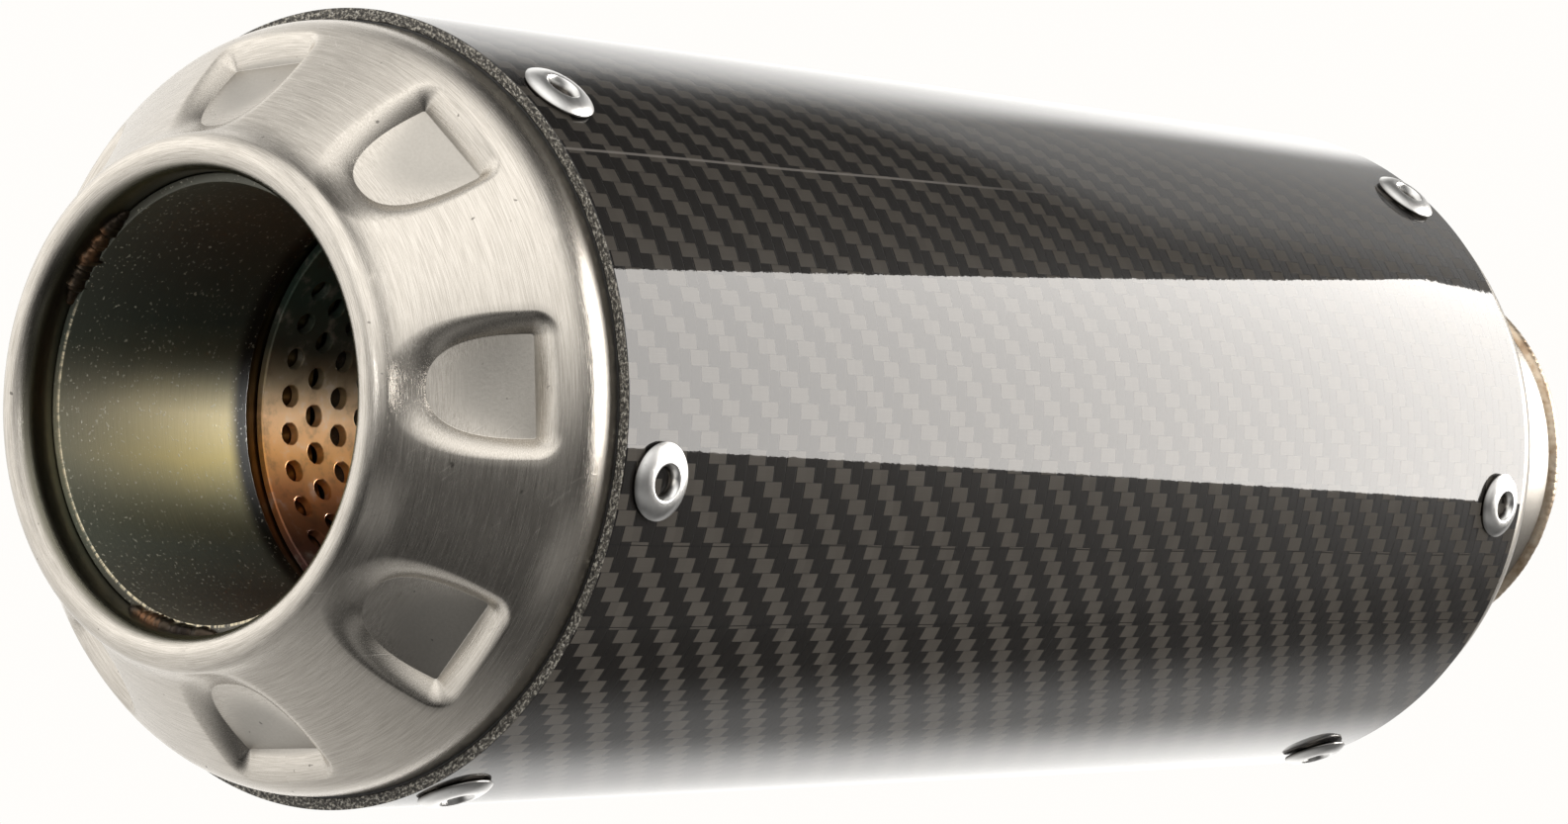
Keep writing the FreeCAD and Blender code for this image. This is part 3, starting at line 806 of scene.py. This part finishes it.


def carbon_weave():
    """2x2 twill under a clear gloss coat, its axial tows painted lighter and its hoop tows darker: a
    painted sheen for how the tows reflect light.
    """
    g = Graph("carbon_twill")
    wander = g.noise(g.straight(14.0, 1.0, 1.0), 9.0, 1.0)
    along = g.times(g.minus(g.x, OUTLET_EDGE), 1 / (TOW_RUN * MM))
    round_axis = g.times(g.clock, TOWS_ROUND / TURN)
    along = g.plus(along, g.scaled(wander, -0.28, 0.28))
    round_axis = g.plus(round_axis, 400.37)
    column = g.math("FLOOR", along)
    row = g.math("FLOOR", round_axis)
    float_place = g.math("FLOORED_MODULO", g.minus(along, row), 4.0)
    axial_end = g.times(float_place, 0.5)
    axial_over = g.step(axial_end, 0.03, 0.07)
    axial = g.times(axial_over, g.minus(1.0, g.step(axial_end, 0.88, 0.92)))
    across_axial = g.math("ABSOLUTE", g.minus(g.math("FRACT", round_axis), 0.5))
    hoop_place = g.math("FLOORED_MODULO", g.minus(round_axis, column), 4.0)
    hoop_end = g.times(g.minus(hoop_place, 1.0), 0.5)
    across_hoop = g.math("ABSOLUTE", g.minus(g.math("FRACT", along), 0.5))
    gap = g.step(across_axial, 0.44, 0.5)
    hoop_gap = g.step(across_hoop, 0.44, 0.5)
    fibre_axial = g.noise(g.wrapped(120.0, 900.0, 0.0), 1.0, 3.0)
    fibre_hoop = g.noise(g.wrapped(17000.0, 8.0, 0.0), 1.0, 3.0)
    tow_tone = g.noise(g.vector(column, row, 0.0), 0.83, 0.0)
    # Painted sheen: the axial tows get a lighter colour and the hoop tows a darker one, for the tows'
    # reflection.
    light = g.mix(fibre_axial, (0.052, 0.046, 0.039, 1), (0.088, 0.078, 0.066, 1))
    light = g.mix(g.scaled(tow_tone, 0.0, 0.5), light, (0.034, 0.030, 0.026, 1))
    light = g.mix(g.times(gap, 0.55), light, (0.012, 0.011, 0.010, 1))
    dark = g.mix(fibre_hoop, (0.005, 0.0045, 0.004, 1), (0.016, 0.014, 0.0125, 1))
    dark = g.mix(g.times(hoop_gap, 0.5), dark, (0.004, 0.004, 0.004, 1))
    colour = g.mix(axial, dark, light)
    seam_wobble = g.noise(g.vector(g.times(g.x, 22.0), 0.0, 0.0), 1.0, 1.0)
    degrees = g.times(g.clock, 180 / math.pi)
    seam_clock = g.plus(degrees, g.scaled(seam_wobble, -0.6, 0.6))
    for seam in SEAM_CLOCKS:
        distance = g.math("ABSOLUTE", g.minus(seam_clock, seam))
        seam_share = g.minus(0.75, g.step(distance, 0.04, 0.16))
        colour = g.mix(seam_share, colour, (0.003, 0.003, 0.003, 1))
    # Painted highlight: a thin pale line along the axis for tow edges catching light, on the outlet
    # half only.
    highlight_line_start = HIGHLIGHT_LINE_CLOCK + HIGHLIGHT_LINE_SLANT * OUTLET_EDGE
    highlight_line_clock = g.math("MULTIPLY_ADD", g.x, -HIGHLIGHT_LINE_SLANT, highlight_line_start)
    highlight_line_clock = g.plus(highlight_line_clock, g.scaled(seam_wobble, -0.3, 0.3))
    highlight_line = g.step(g.math("ABSOLUTE", g.minus(degrees, highlight_line_clock)), 0.34, 0.1)
    highlight_line = g.times(highlight_line, g.step(g.x, station(112.0), station(70.0)))
    colour = g.mix(g.times(highlight_line, 0.6), colour, (0.22, 0.20, 0.18, 1))
    direction = g.mix(axial, g.tangent(), (1.0, 0.0, 0.0, 1))
    from_middle = g.minus(axial_end, 0.5)
    crown = g.times(from_middle, from_middle)
    hoop_from_middle = g.minus(hoop_end, 0.5)
    hoop_crown = g.times(hoop_from_middle, hoop_from_middle)
    height = g.times(g.mix(axial, hoop_crown, crown), -2.0)
    height = g.minus(height, g.times(g.mix(axial, hoop_gap, gap), 0.35))
    print_through = g.noise(g.place, 700.0, 2.0)
    coat_height = g.plus(g.times(height, 0.006), g.times(print_through, 0.3))
    scratch_place = g.vector(g.times(g.x, 60.0), g.times(g.clock, 14.0), 2.0)
    scratch = g.noise(scratch_place, 4.0, 4.0, 0.7)
    coat_height = g.plus(coat_height, g.times(scratch, 0.06))
    g.set(
        Base_Color=colour,
        Roughness=g.scaled(fibre_axial, 0.34, 0.5),
        Specular_IOR_Level=0.03,
        Anisotropic=0.85,
        Tangent=direction,
        Normal=g.bump(height, 0.00006, 0.8),
        Coat_Weight=1.0,
        Coat_Roughness=0.025,
        Coat_IOR=1.5,
        Coat_Normal=g.bump(coat_height, 0.000012, 1.0),
    )
    return g.material


def cut_carbon():
    """Sawn and sealed end of the laminate: pale dust in a dark, grainy edge."""
    g = Graph("carbon_cut_edge")
    grain_place = g.vector(g.times(g.clock, 90.0), g.times(g.radius, 2600.0), 0.0)
    grain = g.noise(grain_place, 1.0, 4.0, 0.7)
    specks = g.noise(g.place, 2600.0, 2.0, 0.6)
    stops = [(0.40, (0.02, 0.018, 0.016)), (0.52, (0.10, 0.09, 0.075)), (0.62, (0.55, 0.52, 0.45))]
    tone = g.ramp(grain, stops)
    tone = g.mix(g.step(specks, 0.6, 0.72), tone, (0.62, 0.6, 0.55, 1))
    g.set(Base_Color=tone, Roughness=0.62, Normal=g.bump(grain, 0.00012, 0.8))
    return g.material


def brushed_cap():
    """Stainless sheet brushed round the axis, with finer, stippled floors in its dimples."""
    g = Graph("stainless_brushed")
    lines = g.noise(g.wrapped(8000.0, 8.0, 8000.0), 1.0, 3.0, 0.7)
    slant = g.plus(g.times(g.clock, 95.0), g.times(g.radius, 3600.0))
    stroke_place = g.vector(slant, g.times(g.clock, 11.0), g.times(g.radius, 90.0))
    strokes = g.noise(stroke_place, 1.0, 2.0, 0.6)
    past_start = g.minus(g.x, station(CONE_START[0]))
    cone = g.math("MULTIPLY_ADD", past_start, math.tan(SLOPE), CONE_START[1] * MM)
    depth = g.times(g.minus(cone, g.radius), COS_SLOPE / MM)
    floor = g.step(depth, 1.9, 2.6)
    stipple = g.noise(g.place, 2400.0, 3.0, 0.6)
    patches = g.noise(g.place, 60.0, 3.0, 0.6)
    tone = g.mix(g.step(lines, 0.25, 0.75), (0.46, 0.428, 0.38, 1), (0.75, 0.705, 0.64, 1))
    tone = g.mix(g.times(g.step(strokes, 0.68, 0.76), 0.25), tone, (0.82, 0.80, 0.76, 1))
    tone = g.mix(floor, tone, g.mix(stipple, (0.38, 0.36, 0.325, 1), (0.50, 0.475, 0.435, 1)))
    tone = g.mix(g.scaled(patches, 0.0, 0.25), tone, (0.50, 0.46, 0.41, 1))
    pits = g.step(g.noise(g.place, 900.0, 1.0, 0.5), 0.76, 0.82)
    tone = g.mix(g.times(pits, 0.7), tone, (0.10, 0.09, 0.08, 1))
    # Darker in the bore behind the lip: soot.
    soot_and_shade = g.step(g.radius, 0.0300, 0.0290)
    tone = g.mix(soot_and_shade, tone, g.mix(lines, (0.10, 0.096, 0.074, 1), (0.19, 0.18, 0.14, 1)))
    relief = g.times(lines, g.minus(1.0, g.times(floor, 0.8)))
    relief = g.plus(relief, g.times(g.step(strokes, 0.66, 0.76), 0.4))
    relief = g.plus(relief, g.times(g.times(stipple, floor), 0.8))
    g.set(
        Base_Color=tone,
        Metallic=1.0,
        Roughness=g.plus(g.scaled(lines, 0.20, 0.32), g.times(floor, 0.10)),
        Anisotropic=0.45,
        Tangent=g.tangent(),
        Normal=g.bump(relief, 0.00002, 1.0),
    )
    return g.material


def tube_tint_and_glow():
    """Stainless tube coloured by heat, with painted light: a painted glow round mid height that grows
    brighter deeper in the tube, painted shade at its far end and painted highlight dashes low on its
    front rim. Pale specks are burnt on to it.
    """
    g = Graph("tube_heat_tint_and_painted_glow")
    wander = g.noise(g.place, 34.0, 3.0, 0.6)
    height = g.math("MULTIPLY_ADD", g.z, 0.5 / (TUBE_RADIUS * MM), 0.5)
    height = g.plus(height, g.scaled(wander, -0.05, 0.05))
    # Heat tint by height. The band round mid height is also painted brighter: a painted glow of light
    # reflected along the tube.
    dull = g.ramp(
        height,
        [
            (0.05, (0.15, 0.14, 0.12)),
            (0.26, (0.26, 0.28, 0.22)),
            (0.42, (0.46, 0.44, 0.32)),
            (0.52, (0.40, 0.38, 0.28)),
            (0.66, (0.13, 0.15, 0.12)),
            (0.92, (0.13, 0.13, 0.105)),
        ],
    )
    straw = g.ramp(
        height,
        [
            (0.10, (0.13, 0.12, 0.10)),
            (0.22, (0.24, 0.26, 0.21)),
            (0.33, (0.48, 0.44, 0.24)),
            (0.42, (0.84, 0.68, 0.27)),
            (0.52, (0.84, 0.71, 0.40)),
            (0.62, (0.30, 0.29, 0.19)),
            (0.72, (0.11, 0.14, 0.115)),
            (0.92, (0.13, 0.115, 0.09)),
        ],
    )
    first, last = stations_of("outlet_tube")
    # Painted glow: deeper in the tube the brighter ramp takes over, so the tube is painted brighter
    # with depth.
    tint = g.mix(g.step(g.x, station(-24.0), station(6.0)), dull, straw)
    # Painted shade: the last few millimetres of the tube, next to the gap before the core, are
    # painted nearly black.
    soot_and_shade = g.step(g.x, station(last - 4.0), station(last - 1.2))
    tint = g.mix(soot_and_shade, tint, (0.02, 0.018, 0.012, 1))
    # Painted highlight: pale gold dashes on the tube's front rim, only low on the ring, where light
    # catches the edge.
    rim_highlight = g.step(g.x, station(first + 0.20), station(first + 0.05))
    rim_highlight = g.times(rim_highlight, g.step(g.radius, 0.02780, 0.02765))
    highlight_dashes = g.noise(g.vector(g.times(g.clock, 22.0), 0.0, 0.0), 1.0, 3.0, 0.7)
    rim_highlight = g.times(rim_highlight, g.step(g.z, 0.0145, 0.0125))
    rim_highlight = g.times(rim_highlight, g.step(highlight_dashes, 0.42, 0.56))
    tint = g.mix(rim_highlight, tint, (1.0, 0.88, 0.62, 1))
    lines = g.noise(g.wrapped(5000.0, 4.0, 0.0), 1.0, 3.0, 0.7)
    tint = g.mix(g.scaled(lines, 0.0, 0.3), tint, (0.05, 0.05, 0.045, 1))
    specks = g.step(g.noise(g.place, 2100.0, 1.0, 0.5), 0.66, 0.73)
    tint = g.mix(g.times(specks, 0.55), tint, (0.62, 0.59, 0.48, 1))
    g.set(
        Base_Color=tint,
        Metallic=g.minus(0.55, g.times(specks, 0.5)),
        Roughness=g.scaled(lines, 0.36, 0.52),
        Anisotropic=0.4,
        Tangent=g.tangent(),
        Normal=g.bump(g.plus(lines, specks), 0.00001, 0.8),
    )
    return g.material


def tinted_core():
    """The core's colours of heat: teal at the top, then straw, orange and purple."""
    g = Graph("core_heat_tint")
    wander = g.noise(g.place, 45.0, 3.0, 0.6)
    height = g.math("MULTIPLY_ADD", g.z, 0.5 / (CORE_RADIUS * MM), 0.5)
    height = g.plus(height, g.scaled(wander, -0.07, 0.07))
    tint = g.ramp(
        height,
        [
            (0.06, (0.10, 0.07, 0.10)),
            (0.22, (0.24, 0.10, 0.06)),
            (0.32, (0.70, 0.25, 0.07)),
            (0.42, (0.98, 0.46, 0.12)),
            (0.52, (0.95, 0.58, 0.28)),
            (0.60, (0.50, 0.38, 0.22)),
            (0.68, (0.13, 0.13, 0.095)),
            (0.80, (0.09, 0.14, 0.11)),
        ],
    )
    smudge = g.noise(g.place, 260.0, 4.0, 0.65)
    tint = g.mix(g.times(g.step(smudge, 0.52, 0.75), 0.45), tint, (0.80, 0.72, 0.62, 1))
    tint = g.mix(g.times(g.step(smudge, 0.5, 0.3), 0.35), tint, (0.10, 0.06, 0.04, 1))
    g.set(
        Base_Color=tint,
        Metallic=0.55,
        Roughness=g.scaled(smudge, 0.28, 0.5),
        Normal=g.bump(smudge, 0.00002, 0.6),
    )
    return g.material


def plain_steel(name, light, dark, roughness, lines_scale=4200.0):
    """Turned or drawn stainless with fine lines round the axis and a few stains."""
    g = Graph(name)
    lines = g.noise(g.wrapped(lines_scale, 5.0, lines_scale), 1.0, 3.0, 0.7)
    stains = g.noise(g.place, 120.0, 4.0, 0.6)
    tone = g.mix(lines, dark, light)
    tone = g.mix(g.times(g.step(stains, 0.5, 0.8), 0.5), tone, (0.30, 0.24, 0.17, 1))
    lined_roughness = g.scaled(lines, roughness - 0.05, roughness + 0.06)
    g.set(
        Base_Color=tone,
        Metallic=1.0,
        Roughness=g.plus(lined_roughness, g.times(stains, 0.06)),
        Normal=g.bump(lines, 0.00001, 0.7),
    )
    return g.material


def weld_metal(name, stops):
    """Weld metal in bands of heat tint, with a pitted, oxidised skin."""
    g = Graph(name)
    wander = g.noise(g.place, 160.0, 3.0, 0.6)
    fine = g.noise(g.place, 1400.0, 4.0, 0.7)
    tint = g.ramp(g.plus(wander, g.scaled(fine, -0.12, 0.12)), stops)
    tint = g.mix(g.times(g.step(fine, 0.6, 0.8), 0.5), tint, (0.05, 0.04, 0.03, 1))
    g.set(
        Base_Color=tint,
        Metallic=0.9,
        Roughness=g.scaled(fine, 0.25, 0.5),
        Normal=g.bump(fine, 0.00004, 0.8),
    )
    return g.material


def aluminium():
    """Bright rivet heads with fine handling marks, darker low down, in their mouths and where their
    brims meet the sleeve.
    """
    g = Graph("aluminium_rivet")
    marks = g.noise(g.place, 900.0, 4.0, 0.7)
    strokes = g.noise(g.straight(3000.0, 400.0, 400.0), 1.0, 2.0)
    tone = g.mix(marks, (0.78, 0.77, 0.75, 1), (0.95, 0.95, 0.94, 1))
    tone = g.mix(g.times(g.step(marks, 0.62, 0.8), 0.5), tone, (0.35, 0.33, 0.30, 1))
    # Darker below 51 mm from the axis: down in the mouths and round the feet of the brims.
    tone = g.mix(g.step(g.radius, 0.05165, 0.0510), tone, (0.10, 0.09, 0.08, 1))
    g.set(
        Base_Color=tone,
        Metallic=1.0,
        Roughness=g.scaled(strokes, 0.24, 0.40),
        Normal=g.bump(g.plus(marks, g.times(strokes, 0.4)), 0.00002, 0.6),
    )
    return g.material


def soft_fill(name, light, dark, scale, stretch, metallic, roughness):
    """Fibres of the packing, the wool or the sealant's skin."""
    g = Graph(name)
    fibres = g.noise(g.straight(scale, scale * stretch, scale * stretch), 1.0, 5.0, 0.75)
    g.set(
        Base_Color=g.mix(fibres, dark, light),
        Metallic=metallic,
        Roughness=g.scaled(fibres, roughness - 0.1, roughness + 0.1),
        Normal=g.bump(fibres, 0.0003, 0.9),
    )
    return g.material


# ---- camera, floor and light ----

# Seen from the outlet side and a little below, as in the photograph.
camera_data = bpy.data.cameras.new("camera")
camera_data.lens = 110.57
camera_data.sensor_width = 36.0
camera_data.sensor_fit = "HORIZONTAL"
camera_data.clip_start = 0.01
camera_data.clip_end = 50.0
camera = bpy.data.objects.new("camera", camera_data)
camera_place = Vector((-0.70145, -0.42545, -0.03733))
camera_right = Vector((0.62446, -0.78065, -0.02510)).normalized()
camera_forward = Vector((0.78049, 0.62247, 0.05798)).normalized()
camera_up = camera_right.cross(camera_forward)
camera_turn = Matrix((camera_right, camera_up, -camera_forward)).transposed()
camera.matrix_world = Matrix.Translation(camera_place) @ camera_turn.to_4x4()
bpy.context.scene.collection.objects.link(camera)
bpy.context.scene.camera = camera
bpy.context.scene.view_settings.view_transform = "Standard"


def make_floor():
    """A pale table top under and behind the muffler; its front edge is near the camera side."""
    front, back, left, right, level = -0.20, 4.0, -3.0, 4.0, -0.30
    mesh = bpy.data.meshes.new("floor")
    corners = [(left, front, level), (right, front, level), (right, back, level), (left, back, level)]
    mesh.from_pydata(corners, [], [(0, 1, 2, 3)])
    g = Graph("floor_paint")
    mottle = g.noise(g.place, 18.0, 4.0)
    g.set(Base_Color=g.mix(mottle, grey(0.78), grey(0.84)), Roughness=0.7)
    mesh.materials.append(g.material)
    floor = bpy.data.objects.new("floor", mesh)
    bpy.context.scene.collection.objects.link(floor)
    floor.visible_glossy = False


def make_surroundings():
    """White backdrop behind the muffler, a light ceiling near the camera and a dark room in front.

    The ray's direction is split into ahead (+X), beyond (+Y) and above (+Z).
    """
    world = bpy.data.worlds.new("studio")
    bpy.context.scene.world = world
    world.use_nodes = True
    background = world.node_tree.nodes["Background"]
    n = Nodes(world.node_tree)
    ahead, beyond, above = n.split(n.add("TexCoord").outputs["Generated"])

    # The backdrop: bright beyond the muffler, with a dimmer spill round its near edge.
    steep = n.step(n.math("ABSOLUTE", above), 0.97, 0.62)
    upper = n.step(above, -0.1, 0.2)
    near_inlet = n.step(ahead, 0.76, 0.84)
    spill_reach = n.math("MULTIPLY_ADD", near_inlet, -0.4, 0.24)
    spill_edge = n.math("MULTIPLY_ADD", upper, spill_reach, -0.12)
    spill = n.times(n.step(beyond, spill_edge, n.plus(spill_edge, 0.28)), 0.5)
    wall_edge = n.math("MULTIPLY_ADD", n.times(upper, near_inlet), 0.12, 0.22)
    wall = n.plus(spill, n.step(beyond, wall_edge, 0.46))
    wall = n.times(wall, steep)
    wall = n.times(wall, n.scaled(n.step(ahead, 0.3, 0.8), 0.6, 1.0))

    # The light ceiling near the camera.
    room = n.times(n.step(above, -0.4, 0.65), n.step(ahead, 0.6, -0.25))
    room = n.times(room, n.scaled(n.step(beyond, -0.2, 0.5), 1.55, 0.7))

    # The table under the muffler, a low haze at the inlet end and a glimmer in front.
    table = n.times(n.step(above, -0.7, -0.95), n.step(beyond, -0.6, 0.36))
    haze = n.times(n.step(beyond, -0.2, -0.32), n.step(above, -0.05, -0.2))
    haze = n.times(haze, n.step(ahead, 0.3, 0.6))
    glimmer = n.times(n.step(above, -0.38, -0.6), n.step(beyond, -0.52, -0.72))
    light = n.plus(wall, n.plus(room, n.times(table, 0.48)))
    light = n.plus(light, n.math("MULTIPLY_ADD", haze, 0.07, 0.03))
    light = n.math("MULTIPLY_ADD", glimmer, 0.26, light)

    # The camera itself sees an even, pale backdrop.
    blend = n.add("Mix", data_type="FLOAT")
    n.feed(n.add("LightPath").outputs["Is Camera Ray"], blend.inputs[0])
    n.feed(light, blend.inputs[2])
    n.feed(1.0, blend.inputs[3])
    n.feed(blend.outputs[0], background.inputs["Strength"])
    background.inputs["Color"].default_value = (1.0, 0.985, 0.96, 1.0)


def place_lamp(data, power, place, target):
    """Hangs a lamp at a place and turns its beam to the target."""
    data.energy = power
    lamp = bpy.data.objects.new(data.name, data)
    lamp.location = place
    lamp.rotation_mode = "QUATERNION"
    lamp.rotation_quaternion = (target - place).to_track_quat("-Z", "Y")
    bpy.context.scene.collection.objects.link(lamp)
    return lamp


def area_light(name, place, target, width, height, power, colour=(1.0, 1.0, 1.0)):
    data = bpy.data.lights.new(name, "AREA")
    data.shape = "RECTANGLE"
    data.size = width
    data.size_y = height
    data.color = colour
    return place_lamp(data, power, place, target)


def spot_light(name, place, target, beam, power):
    """A narrow lamp; beam is its cone's angle in degrees."""
    data = bpy.data.lights.new(name, "SPOT")
    data.spot_size = math.radians(beam)
    data.spot_blend = 0.8
    data.shadow_soft_size = 0.004
    place_lamp(data, power, place, target)


def make_lights():
    """A tall softbox at the inlet end, a low fill and two narrow spots into the open ends."""
    warm = (1.0, 0.965, 0.925)
    heading = math.radians(-34.0)
    reach = 4.0
    low = reach * math.tan(math.radians(-9.3))
    high = reach * math.tan(math.radians(26.9))
    middle = Vector(((OUTLET_EDGE + sleeve_high.x) / 2, 0.0, 0.0))
    target = middle + Vector((0.0, 0.0, (low + high) / 2))
    place = target + Vector((math.cos(heading), math.sin(heading), 0.0)) * reach
    softbox = area_light("softbox", place, target, 3.4, high - low, 205.0, warm)
    softbox.visible_diffuse = False
    fill_place = middle + Vector((0.1, -1.0, -0.45))
    fill = area_light("fill", fill_place, middle, 0.7, 0.7, 11.0)
    fill.visible_glossy = False
    mouth = Vector((station(-20.0), 0.0, 0.0))
    spot_light("mouth_spot", mouth + Vector((-0.80, -0.55, 0.10)), mouth, 4.0, 2.5)
    glow = at(0.0, TUBE_RADIUS - TUBE_WALL, math.radians(-97.0))
    slant = math.radians(10.0)
    slanted = Vector((math.cos(slant), -math.sin(slant), 0.0))
    spot_light("bore_spot", glow + slanted * 1.17, glow, 1.0, 80.0)


# ---- build ----

make_floor()
make_surroundings()
make_lights()

cap_metal = brushed_cap()
rivet_metal = aluminium()
bead_stops = [
    (0.25, (0.24, 0.15, 0.09)),
    (0.42, (0.46, 0.34, 0.23)),
    (0.55, (0.66, 0.55, 0.42)),
    (0.70, (0.55, 0.51, 0.46)),
]
tack_stops = [(0.3, (0.02, 0.015, 0.012)), (0.5, (0.06, 0.045, 0.032)), (0.68, (0.20, 0.10, 0.05))]
collar_metal = plain_steel("collar_steel", (0.62, 0.60, 0.57, 1), (0.42, 0.39, 0.35, 1), 0.3)
socket_metal = plain_steel("socket_steel", (0.20, 0.15, 0.08, 1), (0.07, 0.05, 0.03, 1), 0.36)
tube_metal = tube_tint_and_glow()

make_sleeve(carbon_weave(), cut_carbon())
make_outlet_cap(cap_metal)
make_inlet_cap(cap_metal)
make_tube(
    "outlet_tube_turned", "outlet_tube", TUBE_WALL, TUBE_RADIUS, tube_metal
)
make_tube(
    "core_socket_turned", "core_socket", SHEET, SEAT_RADIUS + SHEET, socket_metal
)
make_tube(
    "inlet_collar_turned", "inlet_collar", COLLAR_WALL, TUBE_RADIUS, collar_metal
)
make_core(tinted_core())
make_inlet_bead(weld_metal("weld_bead_tint", bead_stops))
make_tacks(weld_metal("weld_tack_burnt", tack_stops))
for end in ("outlet", "inlet"):
    make_rivets(end, rivet_metal)

sealant = soft_fill(
    "sealant_skin", light=(0.035, 0.034, 0.033, 1), dark=(0.012, 0.012, 0.012, 1),
    scale=900.0, stretch=0.3, metallic=0.0, roughness=0.55,
)
steel_wool = soft_fill(
    "steel_wool", light=(0.20, 0.18, 0.16, 1), dark=(0.02, 0.018, 0.015, 1),
    scale=900.0, stretch=2.2, metallic=0.7, roughness=0.5,
)
glass_mat = soft_fill(
    "glass_mat", light=(0.78, 0.76, 0.70, 1), dark=(0.52, 0.50, 0.45, 1),
    scale=500.0, stretch=2.5, metallic=0.0, roughness=0.85,
)
tie_wire = plain_steel("tie_wire_steel", (0.55, 0.53, 0.50, 1), (0.30, 0.28, 0.26, 1), 0.35)
inner_weld = weld_metal("weld_inner_tint", bead_stops)
mandrel = plain_steel("mandrel_steel", (0.38, 0.37, 0.35, 1), (0.16, 0.15, 0.14, 1), 0.4, 2600.0)

# CAD nodes whose shape stays and which only get a material.
carried_over = {
    "outlet_sealant": sealant,
    "inlet_sealant": sealant,
    "steel_wool_wrap": steel_wool,
    "packing_blanket": glass_mat,
    "packing_tie_wires": tie_wire,
    "core_weld": inner_weld,
    "core_socket_weld": inner_weld,
    "outlet_rivet_mandrels": mandrel,
    "inlet_rivet_mandrels": mandrel,
}
for node, material in carried_over.items():
    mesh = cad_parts[node].data
    mesh.materials.clear()
    mesh.materials.append(material)
